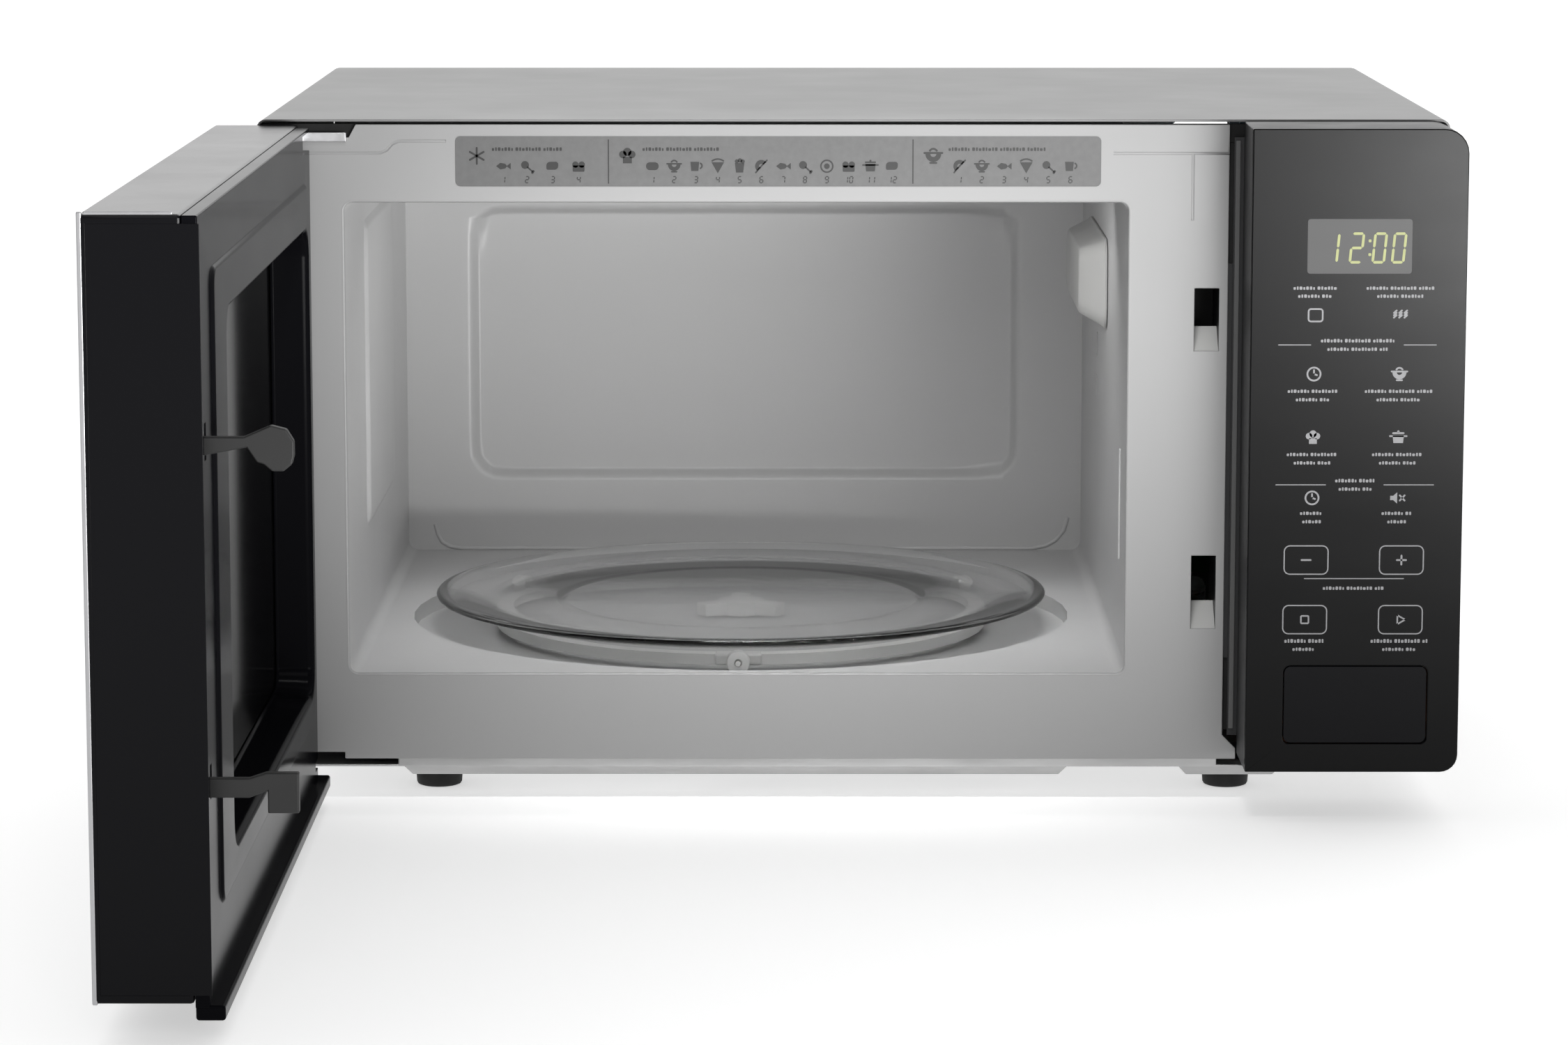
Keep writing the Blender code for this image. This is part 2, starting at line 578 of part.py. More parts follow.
def turntable(cabinet, spindle, tray, ring):
    x, y = TABLE_X, TABLE_Y
    motor_top = WELL_FLOOR - SHEET - GAP
    rod("turntable_motor", cabinet, (x, y, motor_top - 0.008), 0.0245, 0.016, "Z", zinc_steel(),
        sides=32)
    cut(bpy.data.objects["turntable_motor"],
        rod("motor_bore", cabinet, (x, y, motor_top), 0.0045, 0.012, "Z", sides=16))
    hub = rod("drive_coupler", spindle, (x, y, 0.0555), 0.011, 0.0085, "Z", white_plastic())
    shaft = rod("coupler_shaft", spindle, (x, y, 0.0485), 0.0038, 0.0088, "Z", sides=16)
    join(hub, shaft)
    for i in range(3):
        angle = math.radians(90 + 120 * i)
        wing = block(f"coupler_wing_{i}", spindle, (x - 0.006, y - 0.0045, 0.0514),
                     (x + 0.006, y + 0.0045, 0.0598), edge=0.001)
        wing.location.x = 0.0155 * math.cos(angle)
        wing.location.y = 0.0155 * math.sin(angle)
        wing.rotation_euler = (0.0, 0.0, angle)
        join(hub, wing)
    rise = TRAY_RIM - TRAY_LOW
    profile = [(0, TRAY_LOW + 0.0035), (TRAY_FLAT_R, TRAY_LOW + 0.0035),
               (TRAY_FLAT_R + 0.034, TRAY_LOW + 0.0042), (TRAY_R - 0.003, TRAY_RIM),
               (TRAY_R, TRAY_RIM), (TRAY_R, TRAY_RIM - 0.0015),
               (TRAY_R - 0.02, TRAY_LOW + rise * 0.1), (TRAY_FLAT_R + 0.034, TRAY_LOW),
               (0, TRAY_LOW)]
    turned("glass_tray", tray, (x, y, 0), profile, clear_glass(), sides=64)
    roller_ring(ring)


def roller_ring(ring):
    """A flat ring with three stub axles, and a wheel that turns on each."""
    low, high = 0.0524, 0.0572
    axle_z = WELL_FLOOR + GAP + WHEEL_R
    edges = [circle(TABLE_X, TABLE_Y, RING_OUTER, 48), circle(TABLE_X, TABLE_Y, RING_INNER, 48)]
    body = flat("roller_ring", ring, edges, low, high, "Z", white_plastic())
    for i, name in enumerate(WHEELS):
        angle = math.radians(-90 + 120 * i)
        out = Vector((math.cos(angle), math.sin(angle), 0))
        centre = Vector((TABLE_X, TABLE_Y, axle_z)) + out * ROLLER_R
        axle = rod(f"axle_{name}", ring, centre - out * 0.0035, 0.0012, 0.0165, "X", sides=12)
        axle.rotation_euler.z = angle
        join(body, axle)
        hub = pivot(f"{name}_axis", centre, ring)
        wheel = rod(name, hub, centre, WHEEL_R, WHEEL_W, "X", white_plastic(), sides=24)
        bore = rod(f"{name}_bore", hub, centre, 0.0015, 0.012, "X", sides=12)
        for piece in (wheel, bore):
            piece.rotation_euler.z = angle
        cut(wheel, bore)


# Door

def door_outer_frame(door):
    """The moulded outer shell of the door, with the bosses that the hinge pins turn in."""
    wall = 0.003
    frame = block("door_outer_frame", door, (DOOR_LEFT, DOOR_FRONT, DOOR_LOW),
                  (DOOR_RIGHT, DOOR_FRAME_BACK, DOOR_TOP), black_gloss(), edge=0.0014)
    glass = DOOR_GLASS
    inside = boxes("door_inside", door,
                   [((DOOR_LEFT + wall, DOOR_FRONT + 0.0055, DOOR_LOW + 0.0025),
                     (DOOR_RIGHT - wall, 0, DOOR_TOP - 0.0034))])
    seat = boxes("glass_seat", door,
                 [((glass[0] - GAP, DOOR_FRONT - 0.002, glass[2] - GAP),
                   (glass[1] + GAP, DOOR_FRONT + 0.0034, glass[3] + GAP))])
    view = boxes("view_hole", door, [((-0.225, -0.05, 0.045), (0.125, 0, 0.270))])
    end = boxes("free_end_recess", door,
                [((DOOR_RIGHT - 0.0014, DOOR_FRONT + 0.003, DOOR_LOW + 0.0032),
                  (DOOR_RIGHT + 0.01, DOOR_FRAME_BACK - 0.0015, DOOR_TOP - 0.0032))])
    cut(frame, inside, seat, view, end)
    for name, low, high in (("upper_boss", 0.262, 0.2855), ("lower_boss", 0.0226, 0.042)):
        join(frame, block(name, door, (DOOR_LEFT + 0.001, -0.024, low), (-0.234, -0.0076, high)))
    for name, (low, high) in (("upper_pocket", UPPER_POCKET), ("lower_pocket", LOWER_POCKET)):
        cut(frame, rod(name, door, (HINGE_X, HINGE_Y, (low + high) / 2), HINGE_POCKET_R,
                       high - low, "Z", sides=32))
    bore = PIN_R + GAP
    for name, low, high in (("upper_bore", 0.2665, 0.2915), ("lower_bore", 0.020, 0.0395)):
        cut(frame, rod(name, door, (HINGE_X, HINGE_Y, (low + high) / 2), bore, high - low, "Z"))
    return frame


def door_layers(door):
    """Front glass, pierced steel screen and the inner window, from the front to the back."""
    left, right, low, high = DOOR_GLASS
    flat("door_glass", door, [rounded(left, right, low, high, (0.001,) * 4)], DOOR_FRONT,
         DOOR_FRONT + 0.0031, "Y", black_gloss())
    flat("door_screen", door, [rounded(-0.232, 0.146, 0.024, 0.289, (0.004,) * 4)], -0.0190,
         -0.0180, "Y", zinc_steel())
    x0, x1, z0, z1 = WINDOW
    flat("door_inner_window", door, [rounded(x0 - 0.0025, x1 + 0.0025, z0 - 0.0025, z1 + 0.0025,
                                             (0.01,) * 4)], -0.0177, -0.0167, "Y", black_gloss())


def door_inner_cover(door):
    """The black inner frame of the door, with a deep sill round the window and a rail below."""
    left, right, low, high = -0.2445, 0.1644, 0.0140, 0.2953
    x0, x1, z0, z1 = WINDOW
    face = -0.0070
    cover = flat("door_inner_cover", door, [rounded(left, right, low, high, (0.0005,) * 4)], face,
                 DOOR_INNER, "Y", black_plastic())
    sill = flat("window_sill", door, [rounded(x0 - 0.003, x1 + 0.003, z0 - 0.003, z1 + 0.003,
                                              (0.013,) * 4)], -WINDOW_DEPTH - 0.0004, -0.002, "Y")
    rail = block("lower_rail", door, (left, face, RAIL_LOW), (right, RAIL_BACK, 0.0149))
    lug = block("spring_lug", door, (HOOK_X - 0.0046, -0.0172, 0.2563),
                (HOOK_X + 0.0046, -0.0060, 0.2590))
    hole = flat("window_hole", door, [rounded(x0, x1, z0, z1, (0.010,) * 4)], -0.03, 0.01, "Y")
    join(cover, sill, rail, lug)
    slots = boxes("hook_slots", door,
                  [((HOOK_X - 0.0027, -0.02, low_z - 0.0005),
                    (HOOK_X + 0.0027, 0.01, high_z + 0.0048))
                   for low_z, high_z in (UPPER_HOOK, LOWER_HOOK)])
    notches = boxes("hinge_notches", door,
                    [((left - 0.002, -0.02, UPPER_POCKET[0]), (-0.2160, 0.01, UPPER_POCKET[1])),
                     ((left - 0.002, -0.02, LOWER_POCKET[0]), (-0.2340, 0.01, LOWER_POCKET[1]))])
    cut(cover, hole, slots, notches)


def latch(latch_axis):
    """The sliding bar inside the door and the two hooks that reach out of it."""
    half = HOOK_T / 2
    reach = HOOK_REACH
    bar = [(-0.0155, 0.070), (-0.0095, 0.070), (-0.0095, LOWER_HOOK[0]), (0.0120, LOWER_HOOK[0]),
           (0.0185, 0.0902), (0.0185, 0.0820), (reach, 0.0820), (reach, 0.0966),
           (0.0180, 0.0966), (0.0120, LOWER_HOOK[1]), (-0.0095, LOWER_HOOK[1]),
           (-0.0095, UPPER_HOOK[0]), (0.0130, 0.2128), (0.0165, 0.2075)]
    nose = [(0.0238 + 0.0058 * math.cos(math.radians(a)), 0.2098 + 0.0058 * math.sin(math.radians(a)))
            for a in (-150, -110, -70, -30, 0)]
    top = [(reach, 0.2150), (0.0270, 0.2192), (0.0215, 0.2206), (0.0120, UPPER_HOOK[1]),
           (-0.0095, UPPER_HOOK[1]), (-0.0095, 0.235), (-0.0155, 0.235)]
    hooks = flat("latch_hooks", latch_axis, [bar + nose + top], HOOK_X - half, HOOK_X + half, "X",
                 black_plastic())
    coil("latch_spring", latch_axis, (HOOK_X, -0.0125, 0.2456), 0.0026, 0.0007, 0.0205, 6, "Z",
         zinc_steel())
    return hooks


# Control panel

def control_panel(cabinet, button, lever):
    left, right, low, high = PANEL_LEFT, PANEL_RIGHT, PANEL_LOW, PANEL_TOP
    radii = PANEL_CORNERS
    face = PANEL_FRONT + FASCIA_T
    wall = PANEL_WALL
    shell = flat("control_housing", cabinet, [rounded(left, right, low, high, radii, 6)],
                 face + GAP, -GAP, "Y", black_plastic())
    inner = rounded(left + 0.0042, right - wall, low + wall, high - wall,
                    (0.002, radii[1] - wall, radii[2] - wall, 0.002))
    inside = flat("housing_inside", cabinet, [inner], face + 0.0025, 0.002, "Y")
    x0, x1, z0, z1 = BUTTON
    holes = boxes("housing_holes", cabinet,
                  [((x0 - 0.0006, -0.05, z0 - 0.0006), (x1 + 0.0006, -0.03, z1 + 0.0006)),
                   ((DISPLAY[0], -0.05, DISPLAY[2]), (DISPLAY[1], -0.03, DISPLAY[3]))])
    cut(shell, inside, holes)
    flange_low, flange_high = PLATE_HEEL[2], 0.2904
    join(shell, block("flange_root", cabinet, (left + 0.0006, -0.0012, flange_low),
                      (left + 0.0028, 0.0009, flange_high)),
         block("side_flange", cabinet, (left - 0.0042, 0.0, flange_low),
               (left + 0.0020, 0.0010, flange_high)))
    frame = [rounded(left, right, low, high, radii, 6),
             rounded(x0 - GAP, x1 + GAP, z0 - GAP, z1 + GAP, (0.003,) * 4)]
    flat("control_fascia", cabinet, frame, PANEL_FRONT, face, "Y", black_gloss())
    cap = flat("release_button", button, [rounded(x0, x1, z0, z1, (0.0028,) * 4)],
               PANEL_FRONT + 0.0003, face + 0.001, "Y", black_gloss())
    round_edges(cap, 0.0006)
    middle = ((x0 + x1) / 2, (z0 + z1) / 2)
    stem = rod("button_stem", button, (middle[0], (face + STEM_END) / 2, middle[1]), 0.004,
               STEM_END - face + 0.0005, "Y", sides=16)
    join(cap, stem)
    board = block("control_board", cabinet, (0.1755, -0.0165, 0.083), (0.2505, -0.0149, 0.286),
                  circuit_green())
    join(board, block("board_relay", cabinet, (0.182, -0.0155, 0.10), (0.20, 0.0, 0.124)),
         block("board_transformer", cabinet, (0.21, -0.0155, 0.10), (0.24, 0.010, 0.128)),
         block("board_buzzer", cabinet, (0.19, -0.0155, 0.15), (0.202, -0.006, 0.162)))
    block("display_module", cabinet, (DISPLAY[0] - 0.002, -0.0345, DISPLAY[2] - 0.002),
          (DISPLAY[1] + 0.002, -0.0172, DISPLAY[3] + 0.002), black_plastic())
    release_lever(cabinet, lever, middle)


def release_lever(cabinet, lever, middle):
    """The bell crank that the button pushes, its arm below the lower hook, and its spring."""
    y, z, hub_r = LEVER_Y, LEVER_Z, LEVER_HUB_R
    end = middle[0] + 0.003
    start = HOOK_X - 0.0032
    crank = rod("release_lever", lever, ((start + end) / 2, y, z), hub_r, end - start, "X",
                black_plastic(), sides=20)
    arm = [(y, z + 0.002), (-0.0216, 0.062), (-0.0216, 0.0425), (-0.0186, 0.0425),
           (-0.0186, 0.0585), (y, z - 0.0034)]
    front = flat("lever_front_arm", lever, [arm], middle[0] - 0.003, middle[0] + 0.003, "X")
    finger = [(y, z - 0.003), (0.0305, z - 0.003), (0.0305, 0.0762), (0.0255, 0.0762),
              (0.0255, 0.0735), (y, z + 0.003)]
    rear = flat("lever_rear_arm", lever, [finger], HOOK_X - 0.0025, HOOK_X + 0.0025, "X")
    join(crank, front, rear)
    coil("lever_spring", cabinet, (0.180, y, z), hub_r + 0.0012, 0.0011, 0.014, 7, "X",
         zinc_steel())


def main():
    clear_scene()
    middle_x = (PANEL_RIGHT + HINGE_X + (DOOR_FRONT - HINGE_Y)) / 2
    middle_y = (BACK_PANEL_Y + SHEET + GAP + SPACER_H + HINGE_Y - (DOOR_RIGHT - HINGE_X)) / 2
    PIVOTS["oven"] = Vector((0.0, 0.0, 0.0))
    cabinet = bpy.data.objects.new("oven", None)
    PARTS.objects.link(cabinet)
    cabinet.location = (-middle_x, -middle_y, 0.0)
    outer_cover(cabinet)
    front_plate(cabinet)
    cavity_shell(cabinet)
    cavity_back(cabinet)
    waveguide_cover(cabinet)
    base_pan(cabinet)
    back_panel(cabinet)
    feet_and_spacers(cabinet)
    hinge_brackets(cabinet)
    interlock(cabinet)
    waveguide_and_magnetron(cabinet)
    high_voltage(cabinet)
    cooling_fan(cabinet, pivot("fan_axis", (FAN_X, 0.336, FAN_Z), cabinet))
    lamp_and_duct(cabinet)
    axis = (TABLE_X, TABLE_Y, WELL_FLOOR)
    spindle = pivot("turntable_axis", axis, cabinet)
    turntable(cabinet, spindle, pivot("tray_lift", axis, spindle), pivot("ring_axis", axis, cabinet))
    door = pivot("door_hinge", (HINGE_X, HINGE_Y, 0.0), cabinet, -DOOR_OPEN)
    door_outer_frame(door)
    door_layers(door)
    door_inner_cover(door)
    latch(pivot("latch_slide", (HOOK_X, -0.0125, 0.15), door))
    button = pivot("button_slide", (BUTTON[0], PANEL_FRONT, BUTTON[2]), cabinet)
    lever = pivot("lever_axis", (0.18, LEVER_Y, LEVER_Z), cabinet)
    control_panel(cabinet, button, lever)


main()
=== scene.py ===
"""Looks of the microwave oven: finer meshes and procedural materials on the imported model."""

import json
import math

import bmesh
import bpy
from mathutils import Matrix, Vector

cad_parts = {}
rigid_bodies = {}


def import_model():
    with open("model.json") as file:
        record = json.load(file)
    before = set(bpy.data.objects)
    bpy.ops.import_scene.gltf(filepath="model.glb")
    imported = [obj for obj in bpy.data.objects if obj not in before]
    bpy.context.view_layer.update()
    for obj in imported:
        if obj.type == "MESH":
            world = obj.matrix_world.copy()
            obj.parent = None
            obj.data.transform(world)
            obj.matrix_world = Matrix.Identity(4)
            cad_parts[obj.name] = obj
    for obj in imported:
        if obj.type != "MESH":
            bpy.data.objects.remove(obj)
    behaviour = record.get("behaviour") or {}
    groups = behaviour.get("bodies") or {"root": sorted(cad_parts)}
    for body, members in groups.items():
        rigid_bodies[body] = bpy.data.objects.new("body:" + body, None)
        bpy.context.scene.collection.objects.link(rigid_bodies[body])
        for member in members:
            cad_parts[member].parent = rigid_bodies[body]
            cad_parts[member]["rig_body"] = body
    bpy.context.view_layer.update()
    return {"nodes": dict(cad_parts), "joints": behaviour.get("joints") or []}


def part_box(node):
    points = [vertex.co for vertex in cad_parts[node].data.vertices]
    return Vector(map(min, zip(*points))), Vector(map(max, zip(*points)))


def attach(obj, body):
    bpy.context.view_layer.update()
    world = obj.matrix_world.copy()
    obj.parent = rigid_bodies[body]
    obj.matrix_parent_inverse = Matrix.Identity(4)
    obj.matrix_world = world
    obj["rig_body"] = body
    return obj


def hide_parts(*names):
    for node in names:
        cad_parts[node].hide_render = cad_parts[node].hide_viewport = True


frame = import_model()
NODES = frame["nodes"]

# Body coordinates: X from the cabinet's middle, Y from the front plate, Z from the surface below
COVER_LEFT_X = -0.2565
ORIGIN = Vector((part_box("outer_cover")[0].x - COVER_LEFT_X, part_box("front_plate")[0].y, 0.0))
PRINT_T = 0.00012


def node_box(name):
    """A CAD node's box in body coordinates."""
    low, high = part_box(name)
    return low - ORIGIN, high - ORIGIN


# Materials

class Nodes:
    """Short names for building a material's node tree."""

    def __init__(self, name, colour, roughness, metallic=0.0, **sockets):
        self.material = bpy.data.materials.new(name)
        self.material.use_nodes = True
        self.tree = self.material.node_tree
        self.shader = self.tree.nodes["Principled BSDF"]
        self.shader.inputs["Base Color"].default_value = (*colour, 1.0)
        self.shader.inputs["Roughness"].default_value = roughness
        self.shader.inputs["Metallic"].default_value = metallic
        for socket, value in sockets.items():
            self.shader.inputs[socket.replace("_", " ")].default_value = value
        self.place = self.tree.nodes.new("ShaderNodeTexCoord").outputs["Object"]

    def add(self, kind, **settings):
        made = self.tree.nodes.new(f"ShaderNode{kind}")
        for key, value in settings.items():
            setattr(made, key, value)
        return made

    def link(self, source, target):
        self.tree.links.new(source, target)

    def noise(self, scale, detail=3.0, roughness=0.5, stretch=(1, 1, 1)):
        source = self.place
        if stretch != (1, 1, 1):
            mapping = self.add("Mapping")
            mapping.inputs["Scale"].default_value = stretch
            self.link(self.place, mapping.inputs["Vector"])
            source = mapping.outputs["Vector"]
        noise = self.add("TexNoise")
        noise.inputs["Scale"].default_value = scale
        noise.inputs["Detail"].default_value = detail
        noise.inputs["Roughness"].default_value = roughness
        self.link(source, noise.inputs["Vector"])
        return noise.outputs["Fac"]

    def spread(self, value, low, high, start=0.3, end=0.7):
        """A 0 to 1 value spread over a range of numbers."""
        scaled = self.add("MapRange")
        for socket, number in zip(("From Min", "From Max", "To Min", "To Max"),
                                  (start, end, low, high)):
            scaled.inputs[socket].default_value = number
        self.link(value, scaled.inputs["Value"])
        return scaled.outputs["Result"]

    def tint(self, value, dark, light):
        """Colour that drifts between two shades."""
        mix = self.add("Mix", data_type="RGBA")
        self.link(self.spread(value, 0, 1), mix.inputs["Factor"])
        mix.inputs["A"].default_value = (*dark, 1.0)
        mix.inputs["B"].default_value = (*light, 1.0)
        self.link(mix.outputs["Result"], self.shader.inputs["Base Color"])

    def rough(self, value, low, high):
        self.link(self.spread(value, low, high), self.shader.inputs["Roughness"])

    def bump(self, value, height, strength=1.0):
        bump = self.add("Bump")
        bump.inputs["Distance"].default_value = height
        bump.inputs["Strength"].default_value = strength
        self.link(value, bump.inputs["Height"])
        self.link(bump.outputs["Normal"], self.shader.inputs["Normal"])


def shade(colour, factor):
    return tuple(min(1.0, channel * factor) for channel in colour)


def painted(name, colour, roughness, peel=0.00002, coat=0.0):
    """Enamel on sheet steel: faint orange peel, a slow drift in tone and a few duller patches."""
    made = Nodes(name, colour, roughness, Coat_Weight=coat, Coat_Roughness=0.08)
    made.tint(made.noise(6.0), shade(colour, 0.985), shade(colour, 1.01))
    made.rough(made.noise(22.0), roughness * 0.95, roughness * 1.06)
    made.bump(made.noise(900.0, 2.0), peel, 0.5)
    return made.material


def moulded(name, colour, roughness, grain=0.00003, scale=1400.0):
    """Moulded plastic with a fine spark-eroded texture."""
    made = Nodes(name, colour, roughness)
    made.tint(made.noise(9.0), shade(colour, 0.9), shade(colour, 1.12))
    made.rough(made.noise(30.0), roughness * 0.88, roughness * 1.15)
    made.bump(made.noise(scale, 3.0, 0.6), grain, 0.6)
    return made.material


def gloss(name, colour, roughness, level=0.5, coat=0.0):
    """Polished black plastic or printed glass, with very faint handling marks."""
    made = Nodes(name, colour, roughness, Specular_IOR_Level=level, Coat_Weight=coat,
                 Coat_Roughness=0.03)
    made.rough(made.noise(14.0, 5.0, 0.6, (1, 1, 2.5)), roughness * 0.95, roughness * 1.10)
    made.tint(made.noise(3.0), shade(colour, 0.92), shade(colour, 1.08))
    made.bump(made.noise(40.0, 1.0), 0.00001, 0.15)
    return made.material


def plated(name, colour, roughness, stretch=(1, 1, 1), scale=60.0):
    """Zinc-plated or rolled steel: faint spangle and rolling direction."""
    made = Nodes(name, colour, roughness, 0.85)
    made.tint(made.noise(scale, 4.0, 0.6, stretch), shade(colour, 0.82), shade(colour, 1.1))
    made.rough(made.noise(scale * 2.3, 3.0, 0.5, stretch), roughness * 0.8, roughness * 1.25)
    made.bump(made.noise(scale * 9, 2.0, 0.5, stretch), 0.00002, 0.4)
    return made.material


def clear(name, colour, roughness=0.02):
    """Clear glass with the slight wave of pressed ware."""
    made = Nodes(name, colour, roughness, Transmission_Weight=1.0, IOR=1.47)
    made.rough(made.noise(25.0), roughness * 0.6, roughness * 1.6)
    made.bump(made.noise(55.0, 2.0), 0.00005, 0.35)
    return made.material


def printed(name, colour, glow=0.0):
    made = Nodes(name, colour, 0.45)
    made.tint(made.noise(300.0), shade(colour, 0.92), shade(colour, 1.05))
    if glow:
        made.shader.inputs["Emission Color"].default_value = (*colour, 1.0)
        made.shader.inputs["Emission Strength"].default_value = glow
    return made.material


def rubber(name):
    made = Nodes(name, (0.012, 0.012, 0.012), 0.75)
    made.rough(made.noise(80.0), 0.62, 0.85)
    made.bump(made.noise(700.0, 3.0), 0.00006, 0.6)
    return made.material


COVER_PAINT = painted("cover_paint", (0.215, 0.215, 0.215), 0.4)
ENAMEL = painted("cavity_enamel", (0.52, 0.52, 0.52), 0.36)
# The front plate has the same enamel as the cavity; this copy is darker, painted shade
PLATE_PAINT_SHADED = painted("plate_paint_painted_shade", (0.31, 0.31, 0.31), 0.38)
MICA = moulded("waveguide_plastic", (0.50, 0.50, 0.49), 0.42)
ZINC = plated("zinc_plate", (0.60, 0.60, 0.61), 0.34)
PAN_STEEL = plated("base_steel", (0.52, 0.52, 0.52), 0.42, (0.3, 1, 1), 40.0)
BLACK_GLOSS = gloss("black_gloss", (0.004, 0.004, 0.005), 0.2, 0.08)
PANEL_GLASS = gloss("panel_glass", (0.004, 0.004, 0.005), 0.10, 0.2)
INNER_GLOSS = gloss("door_inner_gloss", (0.004, 0.004, 0.005), 0.16, 0.012)
WINDOW_FILM = gloss("window_film", (0.003, 0.003, 0.003), 0.08, 0.10)
BLACK_PLASTIC = moulded("black_plastic", (0.008, 0.008, 0.009), 0.42)
HOOK_PLASTIC = moulded("hook_plastic", (0.006, 0.006, 0.006), 0.5)
WHITE_PLASTIC = moulded("white_plastic", (0.72, 0.72, 0.71), 0.4)
TRAY_GLASS = clear("tray_glass", (0.995, 0.998, 0.996))
LAMP_GLASS = clear("lamp_glass", (0.98, 0.96, 0.9), 0.05)
# Light metal for the door's edge strips: painted highlights
EDGE_HIGHLIGHT = plated("edge_painted_highlight", (0.42, 0.42, 0.43), 0.3, (1, 1, 0.1), 40.0)
RIB_PLASTIC = moulded("rib_plastic", (0.09, 0.09, 0.09), 0.4)
RUBBER = rubber("foot_rubber")
CAN = plated("can_aluminium", (0.7, 0.7, 0.7), 0.3, (1, 1, 8), 30.0)
COPPER = plated("winding_copper", (0.5, 0.2, 0.08), 0.35, (1, 1, 30), 60.0)
CIRCUIT = moulded("circuit_board", (0.02, 0.13, 0.05), 0.4)
FAN_PLASTIC = moulded("fan_plastic", (0.3, 0.42, 0.5), 0.42)
SCREEN = moulded("screen_enamel", (0.012, 0.012, 0.012), 0.5)
PRINT = printed("panel_print", (0.30, 0.30, 0.31))
PRINT_LABEL = printed("strip_print", (0.02, 0.02, 0.02))
STRIP = printed("strip_film", (0.115, 0.115, 0.115))
DISPLAY_FACE = gloss("display_face", (0.085, 0.085, 0.085), 0.3, 0.2)
DIGITS = printed("clock_digits", (0.36, 0.38, 0.16), 0.22)
# Near-black fill for gaps and the slot pocket: painted shade
PAINTED_SHADE_BLACK = moulded("painted_shade_black", (0.004, 0.004, 0.004), 0.8)
FASCIA = gloss("fascia_black", (0.0014, 0.0014, 0.0016), 0.22, 0.13)
BUTTON_GLOSS = gloss("button_black", (0.004, 0.004, 0.005), 0.24, 0.10)


# Placing and shaping

def joint_point(name):
    return next(Vector(j["pos_m"]) for j in frame["joints"] if j["name"] == name)


HINGE = joint_point("door_hinge")
CABINET_PLACE = Matrix.Translation(ORIGIN)
DOOR_PLACE = (Matrix.Translation(HINGE) @ Matrix.Rotation(math.radians(-90), 4, "Z")
              @ Matrix.Translation(-HINGE) @ CABINET_PLACE)
PLACES = {"door": DOOR_PLACE, "latch": DOOR_PLACE}


def keep(name, mesh, material, body="cabinet", stands_for=()):
    """A finished mesh, given in body coordinates with the door shut, put on its body."""
    piece = bpy.data.objects.new(name, mesh)
    bpy.context.scene.collection.objects.link(piece)
    piece.data.materials.clear()
    piece.data.materials.append(material)
    piece.matrix_world = PLACES.get(body, CABINET_PLACE)
    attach(piece, body)
    if stands_for:
        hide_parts(*stands_for)
    return piece


def mesh_from(shape, name, angle=35):
    mesh = bpy.data.meshes.new(name)
    shape.to_mesh(mesh)
    shape.free()
    mesh.shade_smooth()
    mesh.set_sharp_from_angle(angle=math.radians(angle))
    return mesh


def bevelled(piece, width, segments=3, angle=30):
    bevel = piece.modifiers.new("rounded_edges", "BEVEL")
    bevel.width = width
    bevel.segments = segments
    bevel.limit_method = "ANGLE"
    bevel.angle_limit = math.radians(angle)
    bevel.harden_normals = True
    return piece


def refine(node, material, width=0.0006, segments=3, name=None):
    """Stands for a CAD node: its own faces made whole again, with every hard edge rounded."""
    source = NODES[node]
    shape = bmesh.new()
    shape.from_mesh(source.data)
    bmesh.ops.remove_doubles(shape, verts=shape.verts[:], dist=0.000005)
    bmesh.ops.dissolve_limit(shape, angle_limit=math.radians(0.8), verts=shape.verts[:],
                             edges=shape.edges[:])
    piece = bpy.data.objects.new(name or f"{node}_finish", mesh_from(shape, f"{node}_finish"))
    bpy.context.scene.collection.objects.link(piece)
    piece.data.materials.clear()
    piece.data.materials.append(material)
    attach(piece, source["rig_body"])
    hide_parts(node)
    return bevelled(piece, width, segments)


def finish_node(node, material):
    """A CAD node whose shape is right: only its material changes."""
    mesh = NODES[node].data
    mesh.materials.clear()
    mesh.materials.append(material)


def rounded(left, right, low, high, radius, steps=8):
    """Points round a rectangle, anticlockwise from its lower left corner. radius may be four."""
    radii = radius if isinstance(radius, tuple) else (radius,) * 4
    corners = ((left, low, 1, 1, 180), (right, low, -1, 1, 270),
               (right, high, -1, -1, 0), (left, high, 1, -1, 90))
    points = []
    for (x, z, sx, sz, start), r in zip(corners, radii):
        for step in range(steps + 1 if r else 1):
            turn = math.radians(start + 90 * step / steps)
            points.append((x + sx * r + r * math.cos(turn), z + sz * r + r * math.sin(turn))
                          if r else (x, z))
    return points


def circle(x, z, radius, sides=32):
    return [(x + radius * math.cos(2 * math.pi * i / sides),
             z + radius * math.sin(2 * math.pi * i / sides)) for i in range(sides)]


TURNED = {"Y": lambda a, b, c: (a, c, b), "X": lambda a, b, c: (c, a, b),
          "Z": lambda a, b, c: (a, b, c)}


def shape_of(curve):
    """A curve's surface as a bmesh, its caps welded on. The curve is removed."""
    holder = bpy.data.objects.new("curve", curve)
    bpy.context.scene.collection.objects.link(holder)
    bpy.context.view_layer.update()
    graph = bpy.context.evaluated_depsgraph_get()
    mesh = bpy.data.meshes.new_from_object(holder.evaluated_get(graph))
    bpy.data.objects.remove(holder)
    bpy.data.curves.remove(curve)
    shape = bmesh.new()
    shape.from_mesh(mesh)
    bpy.data.meshes.remove(mesh)
    bmesh.ops.remove_doubles(shape, verts=shape.verts[:], dist=1e-6)
    return shape


